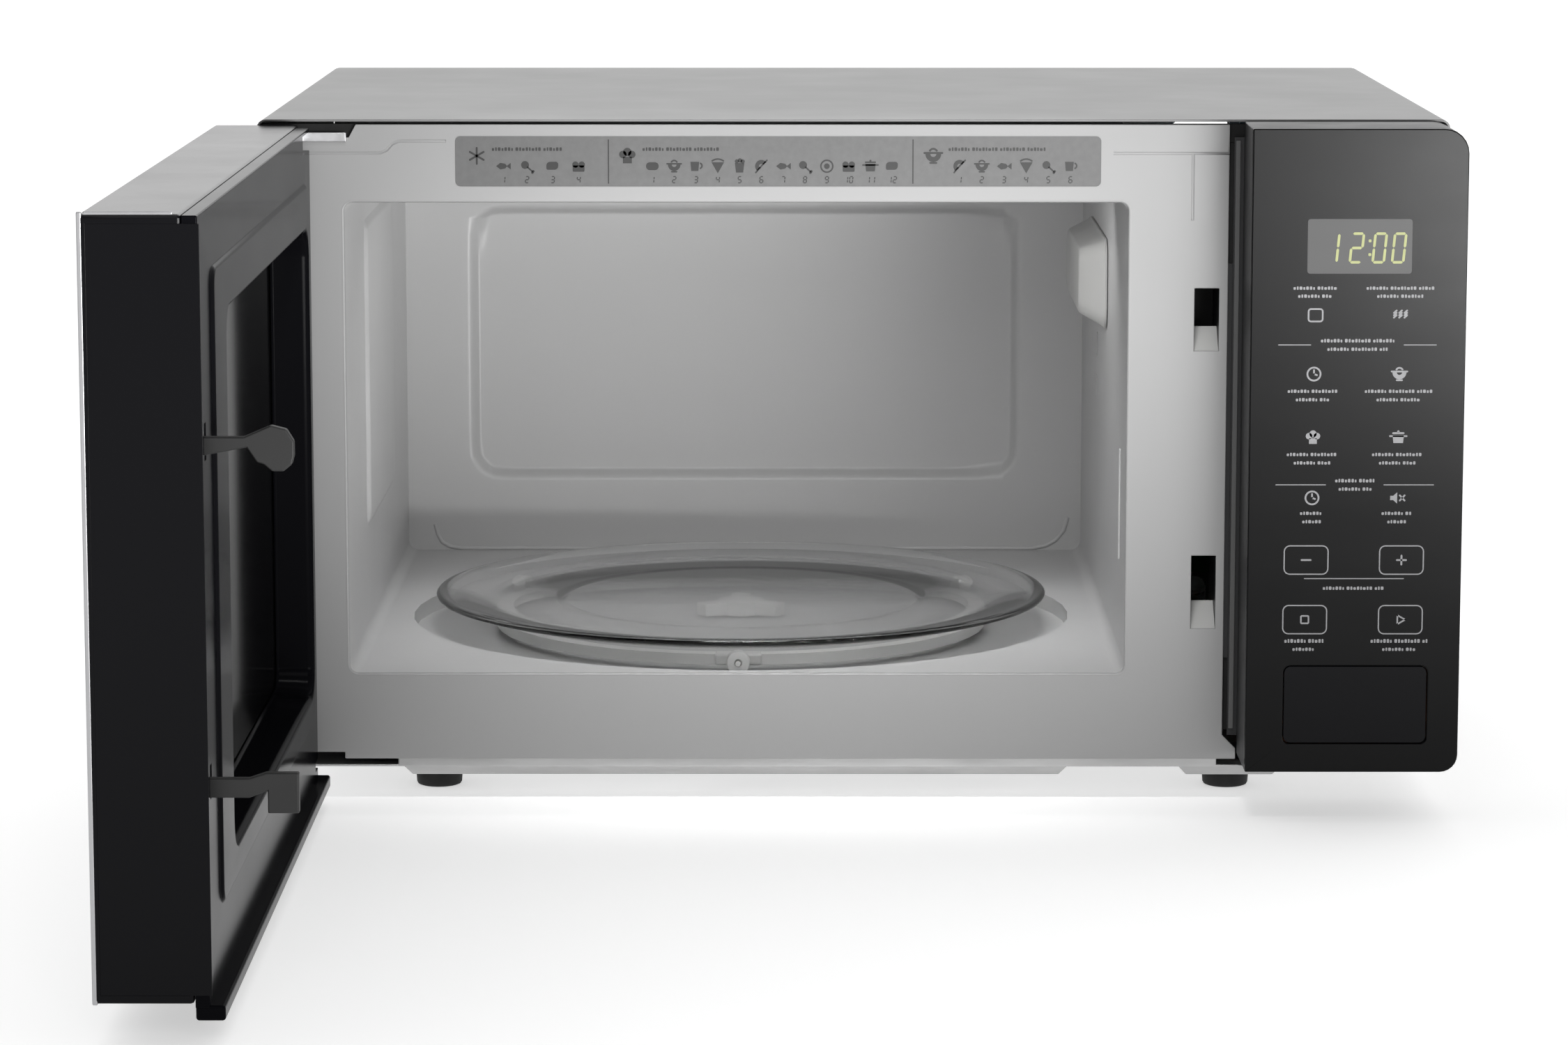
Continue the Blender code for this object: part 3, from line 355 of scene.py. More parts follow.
def slab(outlines, start, end, axis="Y"):
    """A flat outline with any holes, filled and given a thickness along an axis, as a bmesh."""
    curve = bpy.data.curves.new("outline", "CURVE")
    curve.dimensions = "2D"
    curve.fill_mode = "BOTH"
    for outline in outlines:
        spline = curve.splines.new("POLY")
        spline.points.add(len(outline) - 1)
        for point, (x, y) in zip(spline.points, outline):
            point.co = (x, y, 0.0, 1.0)
        spline.use_cyclic_u = True
    curve.extrude = abs(end - start) / 2
    shape = shape_of(curve)
    bmesh.ops.dissolve_limit(shape, angle_limit=math.radians(0.5), verts=shape.verts[:],
                             edges=shape.edges[:])
    middle = (start + end) / 2
    for vertex in shape.verts:
        x, y, depth = vertex.co
        vertex.co = TURNED[axis](x, y, middle + depth)
    bmesh.ops.recalc_face_normals(shape, faces=shape.faces[:])
    return shape


def tube(points, radius, closed=False, sides=8):
    """A round bead or wire along points, as a bmesh."""
    curve = bpy.data.curves.new("wire", "CURVE")
    curve.dimensions = "3D"
    curve.bevel_depth = radius
    curve.bevel_resolution = max(1, sides // 4)
    curve.use_fill_caps = True
    spline = curve.splines.new("POLY")
    spline.points.add(len(points) - 1)
    for point, co in zip(spline.points, points):
        point.co = (*co, 1.0)
    spline.use_cyclic_u = closed
    shape = shape_of(curve)
    bmesh.ops.recalc_face_normals(shape, faces=shape.faces[:])
    return shape


def solid_box(low, high):
    shape = bmesh.new()
    low, high = Vector(low), Vector(high)
    bmesh.ops.create_cube(shape, size=1.0)
    for vertex in shape.verts:
        vertex.co = (low + high) / 2 + Vector(a * b for a, b in zip(vertex.co, high - low))
    return shape


def turned(profile, centre, sides=96, axis="Z"):
    """A turned shape about an axis through centre, as a bmesh. The profile is radius and height."""
    shape = bmesh.new()
    rings = []
    for radius, height in profile:
        ring = []
        for i in range(sides if radius > 0 else 1):
            turn = 2 * math.pi * i / sides
            point = (radius * math.cos(turn), radius * math.sin(turn), height)
            point = TURNED[axis](*point)
            ring.append(shape.verts.new(Vector(centre) + Vector(point)))
        rings.append(ring)
    for upper, lower in zip(rings, rings[1:]):
        for i in range(sides):
            corners = [upper[i % len(upper)], upper[(i + 1) % len(upper)],
                       lower[(i + 1) % len(lower)], lower[i % len(lower)]]
            unique = list(dict.fromkeys(corners))
            if len(unique) > 2:
                shape.faces.new(unique)
    bmesh.ops.recalc_face_normals(shape, faces=shape.faces[:])
    return shape


def carve(piece, shapes, operation="DIFFERENCE"):
    """Cuts shapes from a piece, or joins them to it, and keeps the result as its mesh."""
    if not isinstance(shapes, (list, tuple)):
        shapes = [shapes]
    tools = []
    for shape in shapes:
        mesh = bpy.data.meshes.new("tool")
        shape.to_mesh(mesh)
        shape.free()
        other = bpy.data.objects.new("tool", mesh)
        bpy.context.scene.collection.objects.link(other)
        other.matrix_world = PLACES.get(piece["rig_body"], CABINET_PLACE)
        step = piece.modifiers.new("step", "BOOLEAN")
        step.operation = operation
        step.object = other
        tools.append(other)
    apply_modifiers(piece)
    for other in tools:
        bpy.data.objects.remove(other)
    return piece


def apply_modifiers(piece):
    bpy.context.view_layer.update()
    graph = bpy.context.evaluated_depsgraph_get()
    mesh = bpy.data.meshes.new_from_object(piece.evaluated_get(graph))
    old = piece.data
    piece.modifiers.clear()
    piece.data = mesh
    name = old.name
    bpy.data.meshes.remove(old)
    mesh.name = name


def smooth(piece, angle=35):
    piece.data.shade_smooth()
    piece.data.set_sharp_from_angle(angle=math.radians(angle))
    level = piece.modifiers.new("level_faces", "WEIGHTED_NORMAL")
    level.weight = 100
    level.keep_sharp = True
    return piece


def joined(shapes):
    """Several bmeshes as one."""
    whole = bmesh.new()
    for shape in shapes:
        mesh = bpy.data.meshes.new("joined")
        shape.to_mesh(mesh)
        shape.free()
        whole.from_mesh(mesh)
        bpy.data.meshes.remove(mesh)
    return whole


def eased(value):
    """0 below 0, 1 above 1, and a soft step between."""
    value = max(0.0, min(1.0, value))
    return value * value * (3 - 2 * value)


def inside_rounded(x, y, left, right, low, high, radius):
    """Distance inside a rounded rectangle's edge; negative outside it."""
    dx = abs(x - (left + right) / 2) - ((right - left) / 2 - radius)
    dy = abs(y - (low + high) / 2) - ((high - low) / 2 - radius)
    outside = math.hypot(max(dx, 0), max(dy, 0)) + min(max(dx, dy), 0)
    return radius - outside


# Pressed sheets

def positions(start, end, marks, fine=0.0008, coarse=0.012, reach=0.009):
    """Places across a sheet, close together near its marks and wide apart elsewhere."""
    found = [start]
    while found[-1] < end - fine:
        near = min((abs(found[-1] - mark) for mark in marks), default=1.0)
        step = fine if near < reach else min(coarse, max(fine, near - reach / 2))
        found.append(min(end, found[-1] + step))
    if found[-1] < end:
        found.append(end)
    return found


def pressed(us, vs, place, thickness):
    """A sheet with shapes pressed into it, as a closed bmesh. place gives each point's position."""
    shape = bmesh.new()
    grid = [[shape.verts.new(place(u, v)) for v in vs] for u in us]
    for left, right in zip(grid, grid[1:]):
        for i in range(len(vs) - 1):
            shape.faces.new((left[i], right[i], right[i + 1], left[i + 1]))
    shape.normal_update()
    bmesh.ops.solidify(shape, geom=shape.faces[:], thickness=thickness)
    bmesh.ops.recalc_face_normals(shape, faces=shape.faces[:])
    return shape


# Cabinet

MOUTH = (-0.220, 0.1178, 0.0566, 0.263)
CAVITY = (-0.2196, 0.1174, 0.0570, 0.2626)
CAVITY_BACK = 0.3455
HOOK_X = 0.1512
SLOT_W = 0.0106
RECESS = (-0.1885, 0.0865, 0.0928, 0.2305)
RECESS_DEPTH = 0.006
TABLE = (-0.051, 0.160)
HOLDER_Z, HOLDER_REACH = 0.0549, 0.1100
HOLDER_HALF = (0.0045, 0.0105, 0.0026)


def front_plate():
    # The plate and the mouth's lip take the darkened copy of the enamel: painted shade
    plate = refine("front_plate", PLATE_PAINT_SHADED, 0.0004)
    left_groove = [(-0.246, 0.2835), (-0.2037, 0.2836), (-0.2008, 0.2848), (-0.1984, 0.2875),
                   (-0.1955, 0.2887), (-0.1753, 0.2887)]
    right_groove = [(0.1104, 0.2835), (0.170, 0.2835)]
    down_groove = [(0.1446, 0.2835), (0.1446, 0.2560), (0.1446, 0.2547)]
    grooves = [tube([(x, -0.0003, z) for x, z in run], 0.0008)
               for run in (left_groove, right_groove, down_groove)]
    carve(plate, grooves)
    smooth(plate)
    left, right, low, high = MOUTH
    edge = rounded(left - 0.0002, right + 0.0002, low - 0.0002, high + 0.0002, 0.0045)
    lip = tube([(x, 0.0008, z) for x, z in edge], 0.0009, closed=True)
    keep("mouth_lip", mesh_from(lip, "mouth_lip", 60), PLATE_PAINT_SHADED)
    x0, x1 = HOOK_X - SLOT_W / 2, HOOK_X + SLOT_W / 2
    for name, low, split in (("upper", 0.1983, 0.2080), ("lower", 0.0772, 0.0876)):
        ramp = slab([[(0.0008, low - 0.0004), (0.0022, low - 0.0004), (0.0140, split - 0.0016),
                      (0.0140, split - 0.0004), (0.0127, split - 0.0004)]], x0, x1, "X")
        piece = keep(f"latch_ramp_{name}", mesh_from(ramp, f"latch_ramp_{name}"), MICA)
    # Near-black boxes behind the hinge notch, the plate's top and side gaps and in the back of the upper
    # latch slot: painted shade where light would otherwise show through
    shade_blockers = {"hinge_gap_painted_shade": ((-0.2545, 0.0021, 0.2890), (-0.1960, 0.0045, 0.2960)),
             "top_gap_painted_shade": ((-0.1960, 0.0021, 0.2880), (0.2540, 0.0040, 0.2960)),
             "side_gap_painted_shade": ((0.1604, 0.0021, 0.0320), (0.1662, 0.0040, 0.2880)),
             "upper_slot_painted_shade": ((x0 + 0.0002, 0.0305, 0.2040), (x1 - 0.0002, 0.0320, 0.2250))}
    for name, (low, high) in shade_blockers.items():
        strip = keep(name, mesh_from(solid_box(low, high), name), PAINTED_SHADE_BLACK)
        bevelled(strip, 0.0003, 2)


def cover():
    piece = refine("outer_cover", COVER_PAINT, 0.00035, 2)
    smooth(piece, 40)
    for side, x in (("left", -0.2571), ("right", 0.2551)):
        for i, (y, z) in enumerate(((0.338, 0.040), (0.338, 0.268))):
            screw(f"cover_screw_{side}_{i}", (x, y, z), "X", -1 if side == "left" else 1)


def screw(name, at, axis, way):
    """A pan-head screw with a cross recess; way is the side of the axis that its head faces."""
    profile = [(0.0, 0.0), (0.0034, 0.0), (0.0034, 0.0006), (0.0030, 0.0013), (0.0020, 0.0018),
               (0.0, 0.0020)]
    head = turned([(r, way * h) for r, h in profile], (0, 0, 0), 32, axis)
    for vertex in head.verts:
        vertex.co += Vector(at)
    piece = keep(name, mesh_from(head, name), ZINC)
    bars = []
    for first, second in ((0.0018, 0.0004), (0.0004, 0.0018)):
        low, high = sorted((way * 0.0010, way * 0.0030))
        corner = TURNED[axis](-first, -second, low)
        other = TURNED[axis](first, second, high)
        bars.append(solid_box(Vector(at) + Vector(corner), Vector(at) + Vector(other)))
    carve(piece, bars)
    smooth(piece)
    return piece


def cavity():
    shell = refine("cavity_shell", ENAMEL, 0.0007)
    x = CAVITY[1]
    cuts = []
    for low, high in ((0.1701, 0.1816), (0.1505, 0.1613)):
        outline = rounded(0.2155, 0.2235, low, high, 0.002)
        cuts.append(slab([outline], x - 0.004, x + 0.006, "X"))
    carve(shell, cuts)
    smooth(shell)

    def back_at(u, v):
        inside = inside_rounded(u, v, *RECESS, 0.016)
        return (u, CAVITY_BACK + RECESS_DEPTH * eased(inside / 0.0045), v)

    left, right, low, high = grown(CAVITY, 0.001)
    us = positions(left, right, (RECESS[0] + 0.002, RECESS[1] - 0.002), 0.001)
    vs = positions(low, high, (RECESS[2] + 0.002, RECESS[3] - 0.002), 0.001)
    back = pressed(us, vs, back_at, -0.001)
    piece = keep("cavity_back_pressed", mesh_from(back, "cavity_back_pressed", 60), ENAMEL,
                 stands_for=("cavity_back",))

    def rib_at(u, v):
        inside = inside_rounded(u, v, 0.098, 0.246, 0.104, 0.247, 0.010)
        return (CAVITY[0] - 0.0004 + 0.0022 * eased(inside / 0.006), u, v)

    rib = pressed(positions(0.096, 0.248, (0.101, 0.243), 0.001, 0.02, 0.006),
                  positions(0.102, 0.249, (0.107, 0.244), 0.001, 0.02, 0.006), rib_at, 0.0005)
    keep("cavity_left_panel", mesh_from(rib, "cavity_left_panel", 60), ENAMEL)

    low, back_y = CAVITY[2] + 0.0008, CAVITY_BACK - 0.0006
    bead = [(-0.2062, 0.0700), (-0.2050, 0.0650), (-0.2030, 0.0610), (-0.1990, 0.0588), (-0.1930, low),
            (0.0930, low), (0.1000, 0.0592), (0.1050, 0.0620), (0.1090, 0.0670), (0.1108, 0.0735)]
    line = tube([(u, back_y, v) for u, v in bead], 0.0012)
    keep("cavity_floor_seam", mesh_from(line, "cavity_floor_seam", 60), ENAMEL)

    base, top = (0.1410, 0.2710, 0.1912, 0.2325), (0.1600, 0.2620, 0.1975, 0.2262)
    face, foot = CAVITY[1] - 0.0124, CAVITY[1] - 0.0004
    rings = [(*base, 0.009, foot), (*base, 0.009, foot - 0.0008),
             (*grown(base, -0.0012), 0.008, foot - 0.0020),
             (*grown(top, 0.0010), 0.006, face + 0.0010), (*top, 0.0055, face + 0.0002),
             (*grown(top, -0.0012), 0.005, face), (*grown(top, -0.0100), 0.003, face + 0.0001)]
    shape = lofted(rings, "both", "X")
    keep("waveguide_cover_moulding", mesh_from(shape, "waveguide_cover_moulding", 30), MICA,
                 stands_for=("waveguide_cover",))
    bead = tube([(CAVITY[1] + 0.0001, 0.042, z) for z in (0.101, 0.110, 0.140, 0.150)], 0.0009)
    keep("cavity_wall_bead", mesh_from(bead, "cavity_wall_bead", 60), ENAMEL)


def turntable():
    x, y = TABLE
    low, flat, outer, rim = 0.0605, 0.085, 0.1415, 0.0685
    profile = [(0.0, low + 0.0035), (flat - 0.004, low + 0.0035), (flat - 0.0015, low + 0.0036),
               (flat, low + 0.0039), (flat + 0.002, low + 0.0041), (flat + 0.030, low + 0.0046),
               (outer - 0.012, low + 0.0056), (outer - 0.006, low + 0.0070),
               (outer - 0.0035, rim - 0.0003),
               (outer - 0.0024, rim), (outer - 0.0010, rim - 0.0001), (outer, rim - 0.0010),
               (outer - 0.0004, rim - 0.0022), (outer - 0.006, low + 0.0040),
               (outer - 0.014, low + 0.0018),
               (flat + 0.034, low + 0.0003), (flat + 0.028, low), (flat, low), (0.0, low)]
    glass = turned(profile, (x, y, 0), 160)
    tray = keep("glass_tray_pressed", mesh_from(glass, "glass_tray_pressed", 70), TRAY_GLASS, "tray",
                ("glass_tray",))
    hub = refine("drive_coupler", WHITE_PLASTIC, 0.0008, 4)
    smooth(hub, 40)
    ring = refine("roller_ring", WHITE_PLASTIC, 0.0006, 3)
    smooth(ring, 40)
    for name in ("front_wheel", "right_wheel", "left_wheel"):
        wheel = refine(name, WHITE_PLASTIC, 0.0007, 4)
        smooth(wheel, 40)
    for i in range(3):
        turn = math.radians(-90 + 120 * i)
        out = Vector((math.cos(turn), math.sin(turn), 0))
        side = Vector((-math.sin(turn), math.cos(turn), 0))
        centre = Vector((x, y, HOLDER_Z)) + out * HOLDER_REACH
        guard = solid_box([-half for half in HOLDER_HALF], HOLDER_HALF)
        for vertex in guard.verts:
            vertex.co = centre + out * vertex.co.x + side * vertex.co.y + Vector((0, 0, vertex.co.z))
        piece = keep(f"roller_holder_{i}", mesh_from(guard, f"roller_holder_{i}"), WHITE_PLASTIC, "ring")
        bevelled(piece, 0.0012, 4)


def underside():
    pan = refine("base_pan", PAN_STEEL, 0.0007, 3)
    smooth(pan, 40)
    for name in ("front_left", "front_right", "rear_left", "rear_right"):
        low, high = node_box(f"foot_{name}")
        middle = (low + high) / 2
        radius, top = (high.x - low.x) / 2, high.z
        profile = [(0.0, top), (radius - 0.0004, top), (radius - 0.0002, 0.0062), (radius, 0.0054),
                   (radius - 0.0003, 0.0013), (radius - 0.0008, 0.0004), (radius - 0.0018, 0.0),
                   (0.0046, 0.0), (0.0042, 0.0004), (0.0040, 0.0030), (0.0, 0.0030)]
        foot = turned(profile, (middle.x, middle.y, 0), 64)
        piece = keep(f"rubber_foot_{name}", mesh_from(foot, f"rubber_foot_{name}"), RUBBER,
                     stands_for=(f"foot_{name}",))


def rear():
    panel = refine("back_panel", COVER_PAINT, 0.0003, 2)
    smooth(panel, 40)
    for i, (x, z) in enumerate(((-0.236, 0.032), (-0.236, 0.268), (0.02, 0.283), (0.02, 0.027),
                                (0.236, 0.032), (0.2365, 0.283))):
        screw(f"back_screw_{i}", (x, 0.3554, z), "Y", 1)
    for name in ("rear_spacer_left", "rear_spacer_right", "cord_bush"):
        piece = refine(name, BLACK_PLASTIC, 0.0008, 3)
        smooth(piece, 40)


def hinges():
    for name in ("upper_hinge", "lower_hinge"):
        piece = refine(name, ZINC, 0.0004, 3)
        smooth(piece, 40)


# Door

def lofted(rings, ends="open", axis="Y"):
    """Rounded rectangles joined one to the next. Each is left, right, low, high, radius and depth.
    The last meets the first, or the first and the last are filled."""
    shape = bmesh.new()
    made = []
    for left, right, low, high, radius, y in rings:
        outline = rounded(left, right, low, high, radius, 10)
        made.append([shape.verts.new(TURNED[axis](x, z, y)) for x, z in outline])
    pairs = list(zip(made, made[1:])) + ([(made[-1], made[0])] if ends == "open" else [])
    for first, second in pairs:
        for i in range(len(first)):
            j = (i + 1) % len(first)
            shape.faces.new((first[i], first[j], second[j], second[i]))
    if ends == "both":
        shape.faces.new(made[0])
        shape.faces.new(made[-1])
    bmesh.ops.recalc_face_normals(shape, faces=shape.faces[:])
    return shape


def grown(rect, amount):
    left, right, low, high = rect
    return left - amount, right + amount, low - amount, high + amount


WINDOW = (-0.219, 0.087, 0.057, 0.2525)
RIDGE = (-0.2247, 0.1273, 0.043, 0.273)
INNER = (-0.2445, 0.1644, 0.0140, 0.2953)
COVER_BACK_Y = -0.0070


def door():
    frame_piece = refine("door_outer_frame", BLACK_GLOSS, 0.0011, 5)
    smooth(frame_piece, 40)
    glass = refine("door_glass", PANEL_GLASS, 0.0010, 5)
    smooth(glass, 40)
    border, plateau = -0.0017, -0.0004
    rings = [(*INNER, 0.0006, COVER_BACK_Y), (*INNER, 0.0006, border - 0.0006),
             (*grown(INNER, -0.0002), 0.0006, border - 0.0002), (*grown(INNER, -0.0006), 0.0006, border),
             (*grown(RIDGE, 0.0010), 0.0080, border), (*grown(RIDGE, 0.0006), 0.0076, border + 0.0002),
             (*RIDGE, 0.0070, border + 0.0007), (*grown(RIDGE, -0.0006), 0.0064, plateau - 0.0002),
             (*grown(RIDGE, -0.0012), 0.0058, plateau),
             (*grown(WINDOW, 0.0040), 0.0140, plateau),
             (*grown(WINDOW, 0.0030), 0.0130, plateau - 0.0002),
             (*grown(WINDOW, 0.0021), 0.0121, plateau - 0.0008),
             (*grown(WINDOW, 0.0015), 0.0115, plateau - 0.0018),
             (*grown(WINDOW, 0.0012), 0.0112, plateau - 0.0032), (*WINDOW, 0.0100, -0.0152),
             (*grown(WINDOW, -0.0006), 0.0094, -0.0160), (*grown(WINDOW, -0.0018), 0.0082, -0.0163),
             (*grown(WINDOW, 0.0026), 0.0126, -0.0163), (*grown(WINDOW, 0.0026), 0.0126, COVER_BACK_Y)]
    cover_piece = keep("door_inner_frame", mesh_from(lofted(rings), "door_inner_frame"), INNER_GLOSS,
                       "door", ("door_inner_cover",))
    hook_z = ((0.2080, 0.2213), (0.0871, 0.0994))
    holes = [solid_box((HOOK_X - 0.0027, -0.02, low), (HOOK_X + 0.0027, 0.01, high))
             for low, high in hook_z]
    notches = [solid_box((-0.25, -0.02, 0.2858), (-0.2160, 0.01, 0.2937)),
               solid_box((-0.25, -0.02, 0.0179), (-0.2340, 0.01, 0.0222))]
    carve(cover_piece, holes + notches)
    smooth(cover_piece, 40)
    rail = solid_box((INNER[0], -0.0070, 0.0093), (INNER[1], 0.0036, 0.0149))
    piece = keep("door_lower_rail", mesh_from(rail, "door_lower_rail"), INNER_GLOSS, "door")
    bevelled(piece, 0.0012, 4)
    strip = solid_box((INNER[1] - 0.0001, -0.0405, 0.0186), (INNER[1] + 0.0003, -0.0010, 0.2925))
    piece = keep("door_end_strip", mesh_from(strip, "door_end_strip"), BLACK_GLOSS, "door")
    bevelled(piece, 0.00012, 2)
    # Light metal strips along the door's rounded front and top free edges: painted highlights
    for name, low, high in (
            ("door_front_edge_highlight", (0.1634, -0.0436, 0.0150), (0.16475, -0.0416, 0.2966)),
            ("door_top_edge_highlight", (0.1638, -0.0412, 0.2955), (0.16475, -0.0100, 0.2968))):
        piece = keep(name, mesh_from(solid_box(low, high), name), EDGE_HIGHLIGHT, "door")
        bevelled(piece, 0.0006, 4)
    film = refine("door_inner_window", WINDOW_FILM, 0.0003, 2)
    screen = refine("door_screen", SCREEN, 0.0002, 2)


def latches():
    hooks = refine("latch_hooks", HOOK_PLASTIC, 0.0006, 4)
    smooth(hooks, 40)


# Print: bars that stand for words, plain pictograms and seven-bar numerals

def flake(outline, front, depth=PRINT_T):
    """A thin flat shape facing the front."""
    shape = bmesh.new()
    face = shape.faces.new([shape.verts.new((x, front, z)) for x, z in outline])
    made = bmesh.ops.extrude_face_region(shape, geom=[face])
    for item in made["geom"]:
        if isinstance(item, bmesh.types.BMVert):
            item.co.y -= depth
    bmesh.ops.recalc_face_normals(shape, faces=shape.faces[:])
    return shape


def bar(x, z, width, height):
    return rounded(x - width / 2, x + width / 2, z - height / 2, z + height / 2,
                   min(width, height) * 0.3, 3)


MARKS = (0.0010, 0.0007, 0.0012, 0.0008, 0.0011)


def label(x, z, width, height=0.0014):
    """A line of small marks about the size of print, with a few wider gaps; it spells nothing."""
    marks, at, step = [], x - width / 2, 0
    while at < x + width / 2 - 0.0006:
        mark = min(MARKS[step % len(MARKS)], x + width / 2 - at)
        tall = height if step % 3 else height * 0.8
        marks.append(bar(at + mark / 2, z - (height - tall) / 2, mark, tall))
        at += mark + (0.0011 if step % 8 == 6 else 0.00042)
        step += 1
    return marks


def stroke(x0, z0, x1, z1, width):
    """A straight line with round ends."""
    angle = math.atan2(z1 - z0, x1 - x0)
    points = []
    for (x, z), start in (((x1, z1), -90), ((x0, z0), 90)):
        for i in range(7):
            turn = angle + math.radians(start + 30 * i)
            points.append((x + width / 2 * math.cos(turn), z + width / 2 * math.sin(turn)))
    return points


def arc(x, z, radius, start, end, width, parts=12):
    """A curved line."""
    turns = [math.radians(start + (end - start) * i / parts) for i in range(parts + 1)]
    outer, inner = ([(x + r * math.cos(t), z + r * math.sin(t)) for t in turns]
                    for r in (radius + width / 2, radius - width / 2))
    return outer + inner[::-1]


def outline_box(x, z, width, height, line, radius):
    """The four sides and corners of a rounded outline, as strokes."""
    left, right, low, high = x - width / 2, x + width / 2, z - height / 2, z + height / 2
    shapes = [arc(right - radius, high - radius, radius, 0, 90, line, 5),
              arc(left + radius, high - radius, radius, 90, 180, line, 5),
              arc(left + radius, low + radius, radius, 180, 270, line, 5),
              arc(right - radius, low + radius, radius, 270, 360, line, 5)]
    half = line / 2
    shapes += [[(left + radius, z0 - half), (right - radius, z0 - half), (right - radius, z0 + half),
                (left + radius, z0 + half)] for z0 in (low, high)]
    shapes += [[(x0 - half, low + radius), (x0 + half, low + radius), (x0 + half, high - radius),
                (x0 - half, high - radius)] for x0 in (left, right)]
    return shapes


SEGMENTS = {"0": "abcdef", "1": "bc", "2": "abged", "3": "abgcd", "4": "fgbc", "5": "afgcd",
            "6": "afgedc", "7": "abc", "8": "abcdefg", "9": "abcdfg"}


def numeral(digit, x, z, width, height, line):
    """A seven-bar numeral centred at x and z, leaning a little to the right."""
    w, h, half, gap = width / 2 - line / 2, height / 2 - line / 2, line / 2, line * 0.12
    ends = {"a": (-w, h, w, h), "b": (w, h, w, 0), "c": (w, 0, w, -h), "d": (-w, -h, w, -h),
            "e": (-w, 0, -w, -h), "f": (-w, h, -w, 0), "g": (-w, 0, w, 0)}
    shapes = []
    for name in SEGMENTS[digit]:
        x0, z0, x1, z1 = ends[name]
        length = math.hypot(x1 - x0, z1 - z0)
        ux, uz = (x1 - x0) / length, (z1 - z0) / length
        run = []
        for along, across in ((gap, 0), (gap + half, half), (length - gap - half, half),
                              (length - gap, 0), (length - gap - half, -half),
                              (gap + half, -half)):
            px, pz = x0 + ux * along - uz * across, z0 + uz * along + ux * across
            run.append((x + px + pz * 0.09, z + pz))
        shapes.append(run)
    return shapes


def pictogram(name):
    """Outlines of a simple kitchen symbol, about two units across."""
    w = 0.2
    symbols = {
        "cup": [[(-0.7, 0.55), (0.4, 0.55), (0.3, -0.6), (-0.6, -0.6)],
                arc(0.42, 0.05, 0.34, -80, 80, w)],
        "bowl": [arc(0, 0.2, 0.55, 180, 360, 0.5), stroke(-0.9, 0.3, 0.9, 0.3, w),
                 stroke(-0.3, -0.7, 0.3, -0.7, w),
                 arc(0, 0.32, 0.4, 20, 160, w)],
        "slice": [[(-0.8, 0.5), (0.8, 0.5), (0.0, -0.9)], arc(0, -0.3, 1.2, 50, 130, w)],
        "fish": [[(-0.9, 0), (-0.35, 0.42), (0.25, 0.3), (0.5, 0), (0.25, -0.3), (-0.35, -0.42)],
                 [(0.42, 0), (0.95, 0.42), (0.95, -0.42)]],
        "leg": [circle(-0.25, 0.15, 0.5, 20), stroke(0.1, -0.15, 0.7, -0.7, w),
                circle(0.8, -0.65, 0.16, 12),
                circle(0.68, -0.82, 0.16, 12)],
        "leaf": [arc(0, 0, 0.55, 40, 230, 0.5), stroke(-0.2, -0.2, 0.7, 0.75, w),
                 stroke(-0.2, -0.2, -0.7, -0.8, w)],
        "potato": [rounded(-0.8, 0.8, -0.5, 0.5, 0.48, 5)],
        "bag": [[(-0.6, 0.4), (0.6, 0.4), (0.45, -0.8), (-0.45, -0.8)], circle(-0.35, 0.62, 0.26, 12),
                circle(0.05, 0.72, 0.28, 12), circle(0.4, 0.6, 0.26, 12)],
        "loaf": [rounded(-0.75, 0.75, -0.7, 0.1, 0.12, 3), circle(-0.4, 0.2, 0.4, 16),
                 circle(0.4, 0.2, 0.4, 16)],
        "hat": [[(-0.45, -0.75), (0.45, -0.75), (0.45, -0.1), (-0.45, -0.1)],
                circle(-0.45, 0.15, 0.38, 16),
                circle(0.45, 0.15, 0.38, 16), circle(0, 0.4, 0.42, 16)],
        "clock": [arc(0, 0, 0.75, 0, 360, w, 28), stroke(0, 0, 0, 0.45, w),
                  stroke(0, 0, 0.34, -0.12, w)],
        "sound": [[(-0.8, 0.25), (-0.45, 0.25), (0, 0.65), (0, -0.65), (-0.45, -0.25), (-0.8, -0.25)],
                  stroke(0.3, 0.3, 0.85, -0.3, w), stroke(0.3, -0.3, 0.85, 0.3, w)],
        "flake": [stroke(0.8 * math.cos(t), 0.8 * math.sin(t), -0.8 * math.cos(t), -0.8 * math.sin(t), w)
                  for t in (math.radians(90), math.radians(30), math.radians(150))],
        "waves": [stroke(x, 0.3 * z, x + 0.3, 0.3 * z + 0.28, w)
                  for x in (-0.75, -0.15, 0.45) for z in (0.9, -0.9, 0.0)],
        "pot": [[(-0.65, 0.3), (0.65, 0.3), (0.55, -0.65), (-0.55, -0.65)],
                stroke(-0.95, 0.15, 0.95, 0.15, w),
                stroke(-0.6, 0.5, 0.6, 0.5, w), circle(0, 0.68, 0.14, 10)],
        "plate": [arc(0, 0, 0.75, 0, 360, w, 28), circle(0, 0, 0.36, 18)],
        "steak": [rounded(-0.8, 0.7, -0.45, 0.55, (0.2, 0.45, 0.3, 0.48), 5)],
        "stop": outline_box(0, 0, 1.0, 1.0, w, 0.12),
        "start": [stroke(-0.4, 0.6, -0.4, -0.6, w), stroke(-0.4, 0.6, 0.65, 0, w),
                  stroke(-0.4, -0.6, 0.65, 0, w)],
        "minus": [stroke(-0.6, 0, 0.6, 0, 0.24)],
        "plus": [stroke(-0.6, 0, 0.6, 0, 0.24), stroke(0, 0.6, 0, -0.6, 0.24)],
        "dish": outline_box(0, 0, 1.7, 1.5, w, 0.3),
    }
    return symbols[name]


def symbol(name, x, z, size):
    return [[(x + px * size / 2, z + pz * size / 2) for px, pz in run] for run in pictogram(name)]


